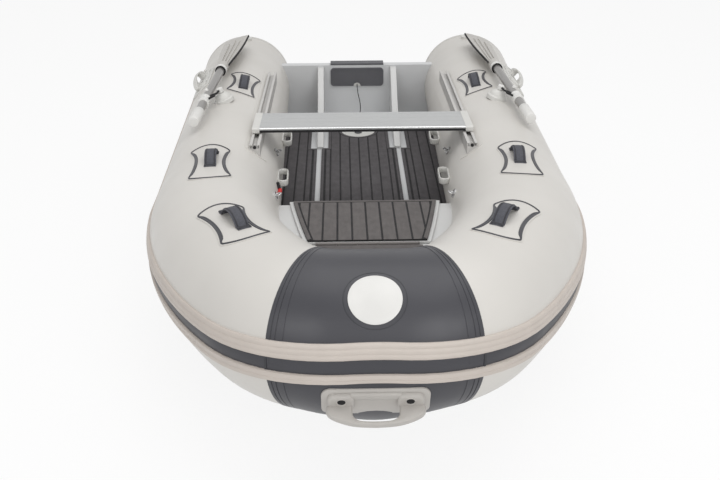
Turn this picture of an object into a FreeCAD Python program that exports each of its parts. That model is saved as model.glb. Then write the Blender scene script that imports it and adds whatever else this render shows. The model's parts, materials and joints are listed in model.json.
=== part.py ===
import FreeCAD, Part
import math
import os
from FreeCAD import Vector

# Inflatable boat with a rigid V hull. Millimetres.
# The bow points to -Y, port is +X, +Z is up.
# The origin is on the ground under the middle of the boat.
# Distances named "forward" or "place" run from the transom's front face towards the bow.
# Pieces are modelled on the port side and mirrored for the starboard side.

# Overall
LENGTH_OVERALL = 2846.0
TUBE_RADIUS = 210.0
DECK_HEIGHT = 155.0            # top of the deck plate above the ground

# Path of the tube's centreline
SHOULDER_HALF = 500.0          # from the middle to the centreline where the straight side starts
FRONT_RADIUS = 6400.0          # nearly straight across the bow
CORNER_RADIUS = 225.0
SHOULDER_RADIUS = 1339.0       # gentle bend from the side into the corner
SHOULDER_TURN = 34.9           # degrees
SPLAY = 1.39                   # degrees, the side tubes part towards the stern
BOW_SLOPE = 4.67               # degrees, plane of the bow's curves
SIDE_SLOPE = 1.42              # degrees, straight side tubes
SHEER_RADIUS = 2500.0          # vertical bend between the two
STERN_CENTRE_HEIGHT = 139.0    # tube centre above the deck, at the transom
TAIL_REACH = 175.0             # full tube aft of the transom's front face
TAIL_CONE = 98.0
TAIL_CONE_RADIUS = 100.0
BOW_PANEL_TURN = 26.5          # degrees each side of the middle, dark bow section

# Strakes round the outside of the tube; angles are degrees up from level outboard
STRAKE_REACH = 22.0
STRAKE_CROWN = 2.5
BAND_MIDDLE = 7.0
BAND_WIDTH = 38.0
BAND_THICKNESS = 8.0
UPPER_STRAKE_WIDTH = 42.0
LOWER_STRAKE_WIDTH = 30.0

# Hull
KEEL_FLAT = 90.0
KEEL_PLATE = 6.0
KEEL_PLATE_LENGTH = 1400.0
DEADRISE = 12.0
STEM_DEADRISE = 10.0           # added at the stem
CHINE_HALF_WIDTH = 400.0
STEM_START = 1390.0
STEM_LENGTH = 910.0
STEM_RISE = 185.0
STEM_POWER = 2.2
STEM_NARROWING = 0.86
DECK_PLATE = 6.0

# Transom and what is on it
TRANSOM_THICKNESS = 40.0
TRANSOM_HEIGHT = 250.0         # above the deck
PAD_WIDTH = 252.0
PAD_HEIGHT = 88.0
PAD_THICKNESS = 9.0
PAD_RIM = 7.0
PAD_RIM_DEPTH = 2.0
PAD_DROP = 12.0                # below the transom's top edge
PAD_CORNER = 16.0
PAD_NOTCH = 17.0
PAD_NOTCH_WALL = 4.0
OUTER_PAD_HEIGHT = 210.0
OUTER_PAD_THICKNESS = 8.0
KNEE_PLACE = 178.0
KNEE_THICKNESS = 30.0
KNEE_LENGTH = 447.0
KNEE_DROP = 6.0                # top of the knee below the transom's top edge
KNEE_TOP_DEPTH = 28.0
KNEE_SAG = 26.0                # hollow of the sloping edge
KNEE_FOOT_HEIGHT = 12.0

# Bench on its rails
RAIL_PLACE = 378.0             # from the middle to the rail's centre
RAIL_FRONT = 1330.0
RAIL_REAR = 342.0
RAIL_WIDTH = 36.0
RAIL_HEIGHT = 28.5             # above the tube, at the rail's centre
RAIL_WALL = 2.5
RAIL_SLOT = 17.0
RAIL_CHANNEL = 11.0            # depth of the channel that the bench runs in
RUNNER_CLEARANCE = 0.8
RUNNER_LENGTH = 150.0
RUNNER_FOOT = 4.0
BENCH_FRONT = 1208.0
BENCH_DEPTH = 190.0
BENCH_THICKNESS = 17.0
BENCH_WALL = 2.0
BENCH_NOSE = 6.0
BENCH_RIBS = 4
BRACKET_WIDTH = 26.0
BRACKET_LIP = 2.5
STOP_RADIUS = 4.0

# Floor mats
MAT_THICKNESS = 6.0
MAT_MARGIN = 7.0
CENTRE_MAT_REAR = 229.0
CENTRE_MAT_HALF = 163.0
CENTRE_MAT_STEP = 38.0
CENTRE_MAT_STEP_PLACE = 445.0
SIDE_MAT_REAR = 60.0
SIDE_MAT_INNER = 187.0
SIDE_MAT_OUTER = 363.0
TRAY_RADIUS = 76.0
TRAY_WALL = 3.0
TRAY_PLACE = 236.0
TRAY_HEIGHT = 5.0
PLUG_RADIUS = 17.0
PLUG_HEIGHT = 16.0
PLUG_PLACE = 246.0
PLUG_WING = 26.0
PLUG_WING_THICKNESS = 7.0

# Locker in the bow
LOCKER_REAR = 1472.0
LOCKER_FRONT = 2140.0
LOCKER_WALL = 14.0
LOCKER_REAR_HEIGHT = 205.0
LOCKER_SLOPE = 4.1
LID_REAR_HALF = 252.0
LID_FRONT_HALF = 178.0
LID_LENGTH = 352.0
LID_THICKNESS = 8.0
LID_REST = 0.6
LID_OVERHANG = 10.0
LID_SEAT = 14.0                # rim of the locker under the lid
LID_MAT_MARGIN = 12.0
HINGE_RADIUS = 5.5
HINGE_PIN = 2.5
HINGE_CLEARANCE = 0.3
HINGE_SETBACK = 7.5
HINGE_END_GAP = 1.0
HINGE_HALF = 160.0
STEP_MAT_GAP = 12.0

# Patches, handles and loops on the tubes; places forward of the transom, degrees round the tube
PATCH_THICKNESS = 2.0
HANDLE_PLACES = [(617.0, 102.0), (1530.0, 89.0), (2068.0, 86.0)]
PATCH_LENGTH = 255.0
PATCH_WIDTH = 138.0
PATCH_HOLLOW = 24.0
RAIL_PATCH_MARGIN = 18.0
STRAP_WIDTH = 38.0
STRAP_THICKNESS = 5.0
STRAP_SPAN = 124.0
STRAP_RISE = 34.0
STRAP_FOOT = 16.0
LOOP_PLACES = [(846.0, 168.0), (1293.0, 164.0)]
LOOP_LENGTH = 92.0
LOOP_WIDTH = 40.0
LOOP_HEIGHT = 17.0
LOOP_WALL = 6.0

# Moulded grab handles on the bow and on the sides
HANDLE_LENGTH = 252.0
HANDLE_WIDTH = 92.0
HANDLE_BASE = 6.0
HANDLE_CORNER = 22.0
HANDLE_REACH = 46.0
GRIP_WIDTH = 34.0
GRIP_OPENING = 124.0
GRIP_ROOT = 46.0
GRIP_THICKNESS = 16.0
GRIP_DROP = 34.0               # below the base's middle
EYE_RADIUS = 6.0
EYE_PLACE = 88.0
BOW_HANDLE_ANGLE = -22.5
SIDE_HANDLE_PLACE = 450.0
SIDE_HANDLE_ANGLE = 47.5
DISC_RADIUS = 72.0
DISC_RIM = 12.0
DISC_ANGLE = 54.0

# Oars stowed on the tubes and the rowlocks that they turn in
OAR_AXIS_OFFSET = 38.0         # shaft's axis off the tube
OAR_ANGLE = 71.5               # degrees round the tube, where the oar lies
OAR_TOE = 3.0                  # degrees, forward end outboard
OAR_RISE = 0.5                 # degrees
SHAFT_RADIUS = 16.0
SHAFT_WALL = 2.0
SHAFT_AFT = 340.0              # from the rowlock back to the blade's socket
SHAFT_FORE = 310.0
COLLAR_RADIUS = 20.5
COLLAR_LENGTH = 60.0
COLLAR_FORWARD = 86.0          # from the rowlock forward to the collar
GRIP_RADIUS = 20.5
GRIP_LENGTH = 112.0
GRIP_CAP = 6.0
BLADE_LENGTH = 478.0
BLADE_ROOT_HALF = 27.0
BLADE_TIP_HALF = 57.0
BLADE_THICKNESS = 6.0
BLADE_RIB = 5.0
SOCKET_RADIUS = 23.0
SOCKET_LENGTH = 62.0
ROWLOCK_PLACE = 855.0
ROWLOCK_INSET = 50.0           # from the oar's axis to the rowlock's pin
ROWLOCK_BASE_RADIUS = 40.0
ROWLOCK_BASE_HEIGHT = 9.0
ROWLOCK_RADIUS = 24.0
ROWLOCK_HEIGHT = 26.0
PIN_RADIUS = 7.0
PIN_CLEARANCE = 0.4
PIN_DEPTH = 18.0
PIN_HEAD_WALL = 6.0            # of the arm's end round the pin
PIN_HEAD_HALF = 8.0            # half its height
SWIVEL_GAP = 1.0               # between it and the rowlock
ARM_RADIUS = 7.0

# Fittings on the tails, hooks on the inner flanks
TAIL_FITTING_PLACE = -108.0
TAIL_FITTING_RADIUS = 26.0
TAIL_FITTING_HEIGHT = 10.0
TAIL_FITTING_HOLE = 8.0
HOOK_PLACES = [(1130.0, 154.0), (1448.0, 160.0)]
HOOK_WIRE = 2.5
HOOK_LENGTH = 46.0
HOOK_WIDTH = 20.0
HOOK_BASE = 15.0
HOOK_BASE_HEIGHT = 5.0

# Drain plug's lanyard, from the eye on the pad to the plug
LANYARD_RADIUS = 2.0
LANYARD_TURNS = 0.45           # share of the shorter run that an arc takes
LANYARD_ROUTE = [(0.0, 7.0, 157.0), (0.0, 23.0, 156.0), (1.0, 38.0, 145.0), (4.0, 47.0, 121.0),
                 (12.0, 49.0, 89.0), (16.0, 58.0, 55.0), (11.0, 70.0, 26.0), (3.0, 94.0, 8.0),
                 (-6.0, 130.0, 7.0), (-9.0, 170.0, 11.0), (-5.0, 206.0, 13.0), (0.0, 233.0, 11.0)]


PARTS = {}


def keep(name, *solids):
    """Files one named piece, of one solid or of several that stand apart."""
    PARTS[name] = solids[0] if len(solids) == 1 else Part.makeCompound(list(solids))


def vec(x, y, z):
    return Vector(x, y, z)


def sine(degrees):
    return math.sin(math.radians(degrees))


def cosine(degrees):
    return math.cos(math.radians(degrees))


def tangent(degrees):
    return math.tan(math.radians(degrees))


class Station:
    """A place on the tube's centreline with its outboard and upward directions."""

    def __init__(self, point, outward, up):
        self.point = point
        self.outward = outward
        self.up = up
        self.along = up.cross(outward)

    def at(self, out, rise):
        return self.point + self.outward * out + self.up * rise

    def radial(self, degrees):
        return self.outward * cosine(degrees) + self.up * sine(degrees)

    def round(self, radius, degrees):
        return self.point + self.radial(degrees) * radius


class Seat:
    """A place on a surface: origin, direction along the tube, direction across, outward normal."""

    def __init__(self, origin, along, normal):
        self.origin = origin
        self.along = along
        self.normal = normal
        self.across = normal.cross(along)

    def at(self, along, across, out):
        return self.origin + self.along * along + self.across * across + self.normal * out

    def cylinder(self, radius, low, high, along=0.0, across=0.0):
        return Part.makeCylinder(radius, high - low, self.at(along, across, low), self.normal)


class TubePath:
    """Port half of the centreline: front, corner, shoulder, sheer bend, straight side."""

    def __init__(self):
        self.aft = vec(0, cosine(BOW_SLOPE), -sine(BOW_SLOPE))
        self.normal = vec(0, sine(BOW_SLOPE), cosine(BOW_SLOPE))
        self.shoulder_start = 90.0 - SHOULDER_TURN
        self.shoulder_finish = 90.0 - SPLAY
        self.sheer_turn = BOW_SLOPE - SIDE_SLOPE
        end = Station(vec(0, 0, 0), self.outward(self.shoulder_finish), self.normal)
        self.side = end.along * cosine(self.sheer_turn) + self.normal * sine(self.sheer_turn)
        self.side_up = self.normal * cosine(self.sheer_turn) - end.along * sine(self.sheer_turn)
        self.side_out = end.outward
        tilt = math.sqrt(1.0 - self.side.y ** 2)
        self.tail_y = LENGTH_OVERALL / 2 - TAIL_CONE * self.side.y - TAIL_CONE_RADIUS * tilt
        self.transom_y = self.tail_y - TAIL_REACH
        self.place_arcs()
        bend = self.normal * (1.0 - cosine(self.sheer_turn)) + end.along * sine(self.sheer_turn)
        self.bend_end = self.shoulder_end + bend * SHEER_RADIUS
        self.sheer_centre = self.shoulder_end + self.normal * SHEER_RADIUS
        drop = self.height_at_bend() - self.bend_end.z
        for name in ("front_centre", "corner_centre", "shoulder_centre", "shoulder_end",
                     "bend_end", "sheer_centre"):
            setattr(self, name, getattr(self, name) + vec(0, 0, drop))

    def place_arcs(self):
        """Centres of the bow's arcs, with the height still open."""
        span = SHOULDER_RADIUS - CORNER_RADIUS
        shoulder_x = SHOULDER_HALF - SHOULDER_RADIUS * sine(self.shoulder_finish)
        corner_x = shoulder_x + span * sine(self.shoulder_start)
        self.front_turn = math.degrees(math.asin(corner_x / (FRONT_RADIUS - CORNER_RADIUS)))
        bow_y = -LENGTH_OVERALL / 2 + bow_reach()
        self.front_centre = vec(0, bow_y, 0) + self.aft * FRONT_RADIUS
        self.corner_centre = (self.front_centre
                              + self.outward(self.front_turn) * (FRONT_RADIUS - CORNER_RADIUS))
        self.shoulder_centre = self.corner_centre - self.outward(self.shoulder_start) * span
        self.shoulder_end = (self.shoulder_centre
                             + self.outward(self.shoulder_finish) * SHOULDER_RADIUS)

    def height_at_bend(self):
        run = (self.transom_y - self.bend_end.y) / self.side.y
        return DECK_HEIGHT + STERN_CENTRE_HEIGHT - self.side.z * run

    def outward(self, degrees):
        """Outboard direction on the bow's arcs, from 0 dead ahead to 90 abeam."""
        return vec(sine(degrees), 0, 0) - self.aft * cosine(degrees)

    def bow(self, degrees):
        """The station on the bow's arcs whose outboard direction has this angle."""
        if degrees <= self.front_turn:
            centre, radius = self.front_centre, FRONT_RADIUS
        elif degrees <= self.shoulder_start:
            centre, radius = self.corner_centre, CORNER_RADIUS
        else:
            centre, radius = self.shoulder_centre, SHOULDER_RADIUS
        outward = self.outward(degrees)
        return Station(centre + outward * radius, outward, self.normal)

    def straight(self, forward):
        """The station on the straight side at this distance forward of the transom."""
        along = (fore(forward) - self.bend_end.y) / self.side.y
        return Station(self.bend_end + self.side * along, self.side_out, self.side_up)

    def station(self, forward):
        """The station at a distance forward of the transom, on the side or on the bow."""
        if forward <= bend_distance():
            return self.straight(forward)
        low = self.front_turn
        high = self.shoulder_finish
        for _ in range(40):
            middle = (low + high) / 2
            if self.transom_y - self.bow(middle).point.y > forward:
                low = middle
            else:
                high = middle
        return self.bow(high)


def bow_reach():
    """How far the strake or the bow handle's grip stands forward of the tube's centreline."""
    tilt = BOW_HANDLE_ANGLE + BOW_SLOPE
    grip = ((TUBE_RADIUS + HANDLE_REACH) * cosine(tilt)
            - (GRIP_WIDTH / 2 - GRIP_DROP) * sine(tilt))
    return max(TUBE_RADIUS + STRAKE_REACH, grip)


def fore(distance):
    """The Y of a place so far forward of the transom's front face."""
    return PATH.transom_y - distance


def bend_distance():
    """Where the straight side starts, forward of the transom."""
    return PATH.transom_y - PATH.bend_end.y


def fused(shapes):
    whole = shapes[0]
    for other in shapes[1:]:
        whole = whole.fuse(other)
    return whole.removeSplitter()


def biggest(shape):
    return max(shape.Solids, key=lambda solid: solid.Volume)


def mirrored(shape):
    return shape.mirror(vec(0, 0, 0), vec(1, 0, 0))


def pair(shapes):
    """The pieces and their mirror images."""
    return list(shapes) + [mirrored(shape) for shape in shapes]


def spread(start, end, count):
    return [start + (end - start) * step / (count - 1) for step in range(count)]


def box(x0, x1, y0, y1, z0, z1):
    return Part.makeBox(x1 - x0, y1 - y0, z1 - z0, vec(x0, y0, z0))


def prism(points, direction):
    """A closed outline pushed along a direction."""
    return Part.Face(Part.makePolygon(points + [points[0]])).extrude(direction)


def rounded_along(shape, direction, radius):
    """Rounds the edges that run in a direction."""
    edges = [edge for edge in shape.Edges
             if edge.Curve.TypeId == "Part::GeomLine"
             and abs(edge.tangentAt(edge.FirstParameter).dot(direction)) > 0.999]
    return shape.makeFillet(radius, edges)


def rod(start, end, radius):
    return Part.makeCylinder(radius, (end - start).Length, start, end - start)


def sweep_arc(profile, centre, radius, start, end):
    outward = PATH.outward(start)
    face = profile(Station(centre + outward * radius, outward, PATH.normal))
    return face.revolve(centre, PATH.normal, end - start)


def sweep_bow(profile, start, end):
    """Solids of the profile along the bow's arcs between two outboard angles."""
    arcs = [(PATH.front_centre, FRONT_RADIUS, -PATH.front_turn, PATH.front_turn),
            (PATH.corner_centre, CORNER_RADIUS, PATH.front_turn, PATH.shoulder_start),
            (PATH.shoulder_centre, SHOULDER_RADIUS, PATH.shoulder_start, PATH.shoulder_finish)]
    solids = []
    for centre, radius, low, high in arcs:
        first = max(start, low)
        last = min(end, high)
        if last > first:
            solids.append(sweep_arc(profile, centre, radius, first, last))
    return solids


def sweep_sheer(profile):
    face = profile(PATH.bow(PATH.shoulder_finish))
    return face.revolve(PATH.sheer_centre, PATH.side_out, PATH.sheer_turn)


def sweep_side(profile, front, rear):
    """Solid of the profile along the straight side between two distances."""
    face = profile(PATH.straight(front))
    return face.extrude(PATH.side * ((front - rear) / PATH.side.y))


def round_half(profile, start, rear):
    """The profile along one side of the boat, from an outboard angle to a distance."""
    return fused(sweep_bow(profile, start, PATH.shoulder_finish)
                 + [sweep_sheer(profile), sweep_side(profile, bend_distance(), rear)])


def disc_profile(radius):
    def make(station):
        circle = Part.Circle(station.point, station.along, radius)
        return Part.Face(Part.Wire([circle.toShape()]))
    return make


def arc_between(station, radius, start, end):
    middle = station.round(radius, (start + end) / 2)
    return Part.Arc(station.round(radius, start), middle, station.round(radius, end)).toShape()


def angle_of(width):
    """Degrees that a width takes on the tube's surface."""
    return math.degrees(width / TUBE_RADIUS)


def strake_profile(start, end, reach, crown):
    """Rubbing strake section between two angles, seated on the tube."""
    def make(station):
        outer_radius = TUBE_RADIUS + reach - crown
        slant = angle_of(reach * 0.3)
        low = start + slant
        high = end - slant
        peak = station.round(TUBE_RADIUS + reach, (low + high) / 2)
        edges = [arc_between(station, TUBE_RADIUS, start, end),
                 Part.makeLine(station.round(TUBE_RADIUS, end), station.round(outer_radius, high)),
                 Part.Arc(station.round(outer_radius, high), peak,
                          station.round(outer_radius, low)).toShape(),
                 Part.makeLine(station.round(outer_radius, low), station.round(TUBE_RADIUS, start))]
        return Part.Face(Part.Wire(edges))
    return make


def ring(profile):
    half = round_half(profile, 0.0, -TAIL_REACH)
    return half.fuse(mirrored(half)).removeSplitter()


def make_tubes():
    disc = disc_profile(TUBE_RADIUS)
    side = round_half(disc, BOW_PANEL_TURN, -TAIL_REACH)
    bow_half = fused(sweep_bow(disc, 0.0, BOW_PANEL_TURN))
    bow = bow_half.fuse(mirrored(bow_half)).removeSplitter()
    tail = Part.makeCone(TUBE_RADIUS, TAIL_CONE_RADIUS, TAIL_CONE,
                         PATH.straight(-TAIL_REACH).point, PATH.side)
    keep("tube_port", side)
    keep("tube_starboard", mirrored(side))
    keep("tube_bow", bow)
    keep("tail_cones", *pair([tail]))
    return side.fuse(mirrored(side)).fuse(bow)


def make_strakes():
    band_low = BAND_MIDDLE - angle_of(BAND_WIDTH) / 2
    band_high = BAND_MIDDLE + angle_of(BAND_WIDTH) / 2
    upper_top = band_high + angle_of(UPPER_STRAKE_WIDTH)
    lower_bottom = band_low - angle_of(LOWER_STRAKE_WIDTH)
    keep("strake_upper", ring(strake_profile(band_high, upper_top, STRAKE_REACH, STRAKE_CROWN)))
    keep("strake_lower", ring(strake_profile(lower_bottom, band_low, STRAKE_REACH, STRAKE_CROWN)))
    keep("strake_band", ring(strake_profile(band_low, band_high, BAND_THICKNESS,
                                            STRAKE_CROWN / 2)))


def hull_half_width(forward):
    along = max(0.0, (forward - STEM_START) / STEM_LENGTH)
    return CHINE_HALF_WIDTH * (1.0 - STEM_NARROWING * along ** STEM_POWER)


def hull_section(forward):
    """Closed outline of the V bottom at a distance forward of the transom."""
    along = max(0.0, (forward - STEM_START) / STEM_LENGTH)
    keel = KEEL_PLATE + STEM_RISE * along ** STEM_POWER
    half = hull_half_width(forward)
    flat = KEEL_FLAT / 2 * (1.0 - 0.6 * along)
    chine = keel + (half - flat) * tangent(DEADRISE + STEM_DEADRISE * along)
    top = locker_top(LOCKER_FRONT)
    y = fore(forward)
    points = [vec(-flat, y, keel), vec(flat, y, keel), vec(half, y, chine), vec(half, y, top),
              vec(-half, y, top), vec(-half, y, chine)]
    return Part.makePolygon(points + [points[0]])


def hull_block(tube):
    """Everything between the tubes from the keel up to the locker's top."""
    straight = Part.makeLoft([hull_section(-TRANSOM_THICKNESS), hull_section(STEM_START)],
                             True, True)
    stem_stations = spread(STEM_START, STEM_START + STEM_LENGTH, 7)
    stem = Part.makeLoft([hull_section(station) for station in stem_stations], True, False)
    return biggest(straight.fuse(stem).cut(tube).removeSplitter())


def bay(rear, low, high):
    """Room above the deck, drawn in towards the bow so that the hull keeps its flanks."""
    wide = CHINE_HALF_WIDTH * 2
    narrow = CHINE_HALF_WIDTH * 0.33
    outline = [vec(-wide, fore(rear), low), vec(wide, fore(rear), low),
               vec(wide, fore(LOCKER_REAR), low),
               vec(CHINE_HALF_WIDTH, fore(LOCKER_REAR), low),
               vec(narrow, fore(LOCKER_FRONT), low), vec(-narrow, fore(LOCKER_FRONT), low),
               vec(-CHINE_HALF_WIDTH, fore(LOCKER_REAR), low),
               vec(-wide, fore(LOCKER_REAR), low)]
    return prism(outline, vec(0, 0, high - low))


def make_hull(block):
    deck_low = DECK_HEIGHT - DECK_PLATE
    above = bay(-TRANSOM_THICKNESS, deck_low, locker_top(LOCKER_FRONT))
    keep("hull", biggest(block.cut(above)))
    keep("deck_plate", biggest(block.common(bay(0.0, deck_low, DECK_HEIGHT))))
    keel = box(-KEEL_FLAT / 2, KEEL_FLAT / 2, fore(STEM_START),
               fore(STEM_START - KEEL_PLATE_LENGTH), 0, KEEL_PLATE)
    keep("keel_guard", keel)


def knee_front():
    return KNEE_LENGTH + MAT_MARGIN


def make_mats():
    low = DECK_HEIGHT
    high = low + MAT_THICKNESS
    front = LOCKER_REAR - MAT_MARGIN
    half = CENTRE_MAT_HALF
    inner = half - CENTRE_MAT_STEP
    outline = [vec(half, fore(front), low), vec(half, fore(CENTRE_MAT_STEP_PLACE), low),
               vec(inner, fore(CENTRE_MAT_STEP_PLACE), low), vec(inner, fore(CENTRE_MAT_REAR), low)]
    outline += [vec(-point.x, point.y, point.z) for point in reversed(outline)]
    centre = prism(outline, vec(0, 0, MAT_THICKNESS))
    recess = Part.makeCylinder(TRAY_RADIUS + 1.0, MAT_THICKNESS, vec(0, fore(TRAY_PLACE), low))
    keep("floor_mat_centre", centre.cut(recess))
    side = box(SIDE_MAT_INNER, SIDE_MAT_OUTER, fore(front), fore(SIDE_MAT_REAR), low, high)
    round_knee = box(0, KNEE_PLACE + KNEE_THICKNESS + MAT_MARGIN, fore(knee_front()), fore(0),
                     low, high)
    keep("floor_mats_side", *pair([side.cut(round_knee)]))


def make_drain():
    """Round tray in the deck with its winged plug."""
    low = DECK_HEIGHT
    base = vec(0, fore(TRAY_PLACE), low)
    tray = Part.makeCylinder(TRAY_RADIUS, TRAY_HEIGHT, base)
    hollow = Part.makeCylinder(TRAY_RADIUS - TRAY_WALL, TRAY_HEIGHT, base + vec(0, 0, 2.0))
    keep("drain_tray", tray.cut(hollow))
    foot = vec(0, fore(PLUG_PLACE), low + 2.0)
    plug = Part.makeCylinder(PLUG_RADIUS, PLUG_HEIGHT * 0.45, foot)
    wing = box(-PLUG_WING_THICKNESS / 2, PLUG_WING_THICKNESS / 2, foot.y - PLUG_WING / 2,
               foot.y + PLUG_WING / 2, foot.z, foot.z + PLUG_HEIGHT)
    wing = rounded_along(wing, vec(1, 0, 0), 3.0)
    keep("drain_plug", plug.fuse(wing).removeSplitter())


def make_transom(tube):
    y = PATH.transom_y
    top = DECK_HEIGHT + TRANSOM_HEIGHT
    half = SHOULDER_HALF + TUBE_RADIUS / 4
    low = DECK_HEIGHT - DECK_PLATE
    plate = box(-half, half, y, y + TRANSOM_THICKNESS, low, top).cut(tube)
    keep("transom", biggest(plate))
    half_pad = PAD_WIDTH / 2
    pad_top = top - PAD_DROP
    front = y - PAD_THICKNESS
    pad = box(-half_pad, half_pad, front, y, pad_top - PAD_HEIGHT, pad_top)
    pad = rounded_along(pad, vec(0, 1, 0), PAD_CORNER)
    hollow = box(-half_pad + PAD_RIM, half_pad - PAD_RIM, front, front + PAD_RIM_DEPTH,
                 pad_top - PAD_HEIGHT + PAD_RIM, pad_top - PAD_RIM)
    hollow = rounded_along(hollow, vec(0, 1, 0), PAD_CORNER - PAD_RIM)
    foot = vec(0, front, pad_top - PAD_HEIGHT)
    boss = Part.makeCylinder(PAD_NOTCH + PAD_RIM, PAD_THICKNESS, foot, vec(0, 1, 0))
    above = box(-half_pad, half_pad, front, y, foot.z, pad_top)
    notch = Part.makeCylinder(PAD_NOTCH, PAD_THICKNESS, foot, vec(0, 1, 0))
    keep("motor_pad_inner", pad.cut(hollow).fuse(boss.common(above)).cut(notch).removeSplitter())
    eye = Part.makeCylinder(PAD_NOTCH - 0.5, PAD_THICKNESS - 2.0, foot + vec(0, 2.0, 0),
                            vec(0, 1, 0)).common(above)
    keep("lanyard_eye", eye)
    rear = y + TRANSOM_THICKNESS
    plate = box(-half_pad, half_pad, rear, rear + OUTER_PAD_THICKNESS, top - OUTER_PAD_HEIGHT, top)
    flange = box(-half_pad, half_pad, y, rear + OUTER_PAD_THICKNESS, top, top + OUTER_PAD_THICKNESS)
    keep("motor_pad_outer", plate.fuse(flange).removeSplitter())


def make_knees():
    y = PATH.transom_y
    x = KNEE_PLACE
    top = DECK_HEIGHT + TRANSOM_HEIGHT - KNEE_DROP
    foot = DECK_HEIGHT + KNEE_FOOT_HEIGHT
    upper = vec(x, y - KNEE_TOP_DEPTH, top)
    lower = vec(x, y - KNEE_LENGTH, foot)
    slope = (lower - upper).normalize()
    hollow = (upper + lower) * 0.5 - vec(0, -slope.z, slope.y) * -KNEE_SAG
    edges = [Part.makeLine(vec(x, y, DECK_HEIGHT), vec(x, y, top)),
             Part.makeLine(vec(x, y, top), upper),
             Part.Arc(upper, hollow, lower).toShape(),
             Part.makeLine(lower, vec(x, y - KNEE_LENGTH, DECK_HEIGHT)),
             Part.makeLine(vec(x, y - KNEE_LENGTH, DECK_HEIGHT), vec(x, y, DECK_HEIGHT))]
    knee = Part.Face(Part.Wire(edges)).extrude(vec(KNEE_THICKNESS, 0, 0))
    keep("transom_knees", *pair([knee]))


def tube_top_at(x, forward):
    """The point on top of the side tube at a distance from the middle."""
    station = PATH.straight(forward)
    return station.round(TUBE_RADIUS, math.degrees(math.acos((x - station.point.x) / TUBE_RADIUS)))


class Rail:
    """Line of the port rail's top, straight fore and aft in plan."""

    def __init__(self):
        front = tube_top_at(RAIL_PLACE, RAIL_FRONT)
        rear = tube_top_at(RAIL_PLACE, RAIL_REAR)
        lift = RAIL_HEIGHT + PATCH_THICKNESS
        self.front = vec(RAIL_PLACE, fore(RAIL_FRONT), front.z + lift)
        self.rear = vec(RAIL_PLACE, fore(RAIL_REAR), rear.z + lift)
        self.along = (self.rear - self.front).normalize()
        self.up = vec(1, 0, 0).cross(self.along)

    def at(self, forward, out, rise):
        distance = (self.front.y - fore(forward)) / -self.along.y
        return self.front + self.along * distance + vec(out, 0, 0) + self.up * rise

    def bar(self, forward, length, half, low, high):
        """A bar along the rail, its height measured from the rail's top."""
        outline = [self.at(forward, -half, low), self.at(forward, half, low),
                   self.at(forward, half, high), self.at(forward, -half, high)]
        return prism(outline, self.along * length)


def make_rails(rail, grown):
    length = (rail.rear - rail.front).Length
    half = RAIL_WIDTH / 2
    body = rail.bar(RAIL_FRONT, length, half, -60.0, 0.0)
    floor = -RAIL_WALL - RAIL_CHANNEL
    channel = rail.bar(RAIL_FRONT, length, half - RAIL_WALL, floor, -RAIL_WALL)
    slot = rail.bar(RAIL_FRONT, length, RAIL_SLOT / 2, -RAIL_WALL, 0.0)
    body = body.cut(channel).cut(slot).cut(grown)
    stop_foot = rail.at(RAIL_FRONT - 10.0, 0, floor)
    stop = Part.makeCylinder(STOP_RADIUS, RAIL_CHANNEL + RAIL_WALL - 1.0, stop_foot, rail.up)
    keep("seat_rails", *pair([biggest(body.fuse(stop).removeSplitter())]))


def make_bench(rail):
    """Hollow plank on end brackets whose runners hang in the rails."""
    half = RAIL_PLACE + RAIL_WIDTH / 2
    low = RUNNER_CLEARANCE + BRACKET_LIP
    high = low + BENCH_THICKNESS
    inner = half - BRACKET_WIDTH
    start = [rail.at(BENCH_FRONT, -RAIL_PLACE - inner, low),
             rail.at(BENCH_FRONT, inner - RAIL_PLACE, low),
             rail.at(BENCH_FRONT, inner - RAIL_PLACE, high),
             rail.at(BENCH_FRONT, -RAIL_PLACE - inner, high)]
    plank = prism(start, rail.along * BENCH_DEPTH)
    plank = rounded_along(plank, vec(1, 0, 0), BENCH_NOSE)
    room = (BENCH_DEPTH - 2 * BENCH_NOSE - BENCH_WALL * (BENCH_RIBS + 1)) / BENCH_RIBS
    for index in range(BENCH_RIBS):
        place = BENCH_FRONT - BENCH_NOSE - BENCH_WALL - index * (room + BENCH_WALL)
        corners = [rail.at(place, -RAIL_PLACE - inner, low + BENCH_WALL),
                   rail.at(place, inner - RAIL_PLACE, low + BENCH_WALL),
                   rail.at(place, inner - RAIL_PLACE, high - BENCH_WALL),
                   rail.at(place, -RAIL_PLACE - inner, high - BENCH_WALL)]
        plank = plank.cut(prism(corners, rail.along * room))
    keep("bench", plank)
    outline = [rail.at(BENCH_FRONT + 3.0, inner - RAIL_PLACE, RUNNER_CLEARANCE),
               rail.at(BENCH_FRONT + 3.0, half - RAIL_PLACE, RUNNER_CLEARANCE),
               rail.at(BENCH_FRONT + 3.0, half - RAIL_PLACE, high + 1.0),
               rail.at(BENCH_FRONT + 3.0, inner - RAIL_PLACE, high + 1.0)]
    bracket = prism(outline, rail.along * (BENCH_DEPTH + 6.0))
    bracket = rounded_along(bracket, vec(1, 0, 0), BENCH_NOSE)
    middle = BENCH_FRONT - (BENCH_DEPTH - RUNNER_LENGTH) / 2
    side_play = 1.0
    stem = rail.bar(middle, RUNNER_LENGTH, RAIL_SLOT / 2 - side_play, -RAIL_WALL - 1.6,
                    RUNNER_CLEARANCE)
    foot_top = -RAIL_WALL - RUNNER_CLEARANCE
    foot = rail.bar(middle, RUNNER_LENGTH, RAIL_WIDTH / 2 - RAIL_WALL - side_play,
                    foot_top - RUNNER_FOOT, foot_top)
    keep("bench_brackets", *pair([fused([bracket, stem, foot])]))


def locker_top(forward):
    return DECK_HEIGHT + LOCKER_REAR_HEIGHT + (forward - LOCKER_REAR) * tangent(LOCKER_SLOPE)


def locker_up():
    return vec(0, sine(LOCKER_SLOPE), cosine(LOCKER_SLOPE))


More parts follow.
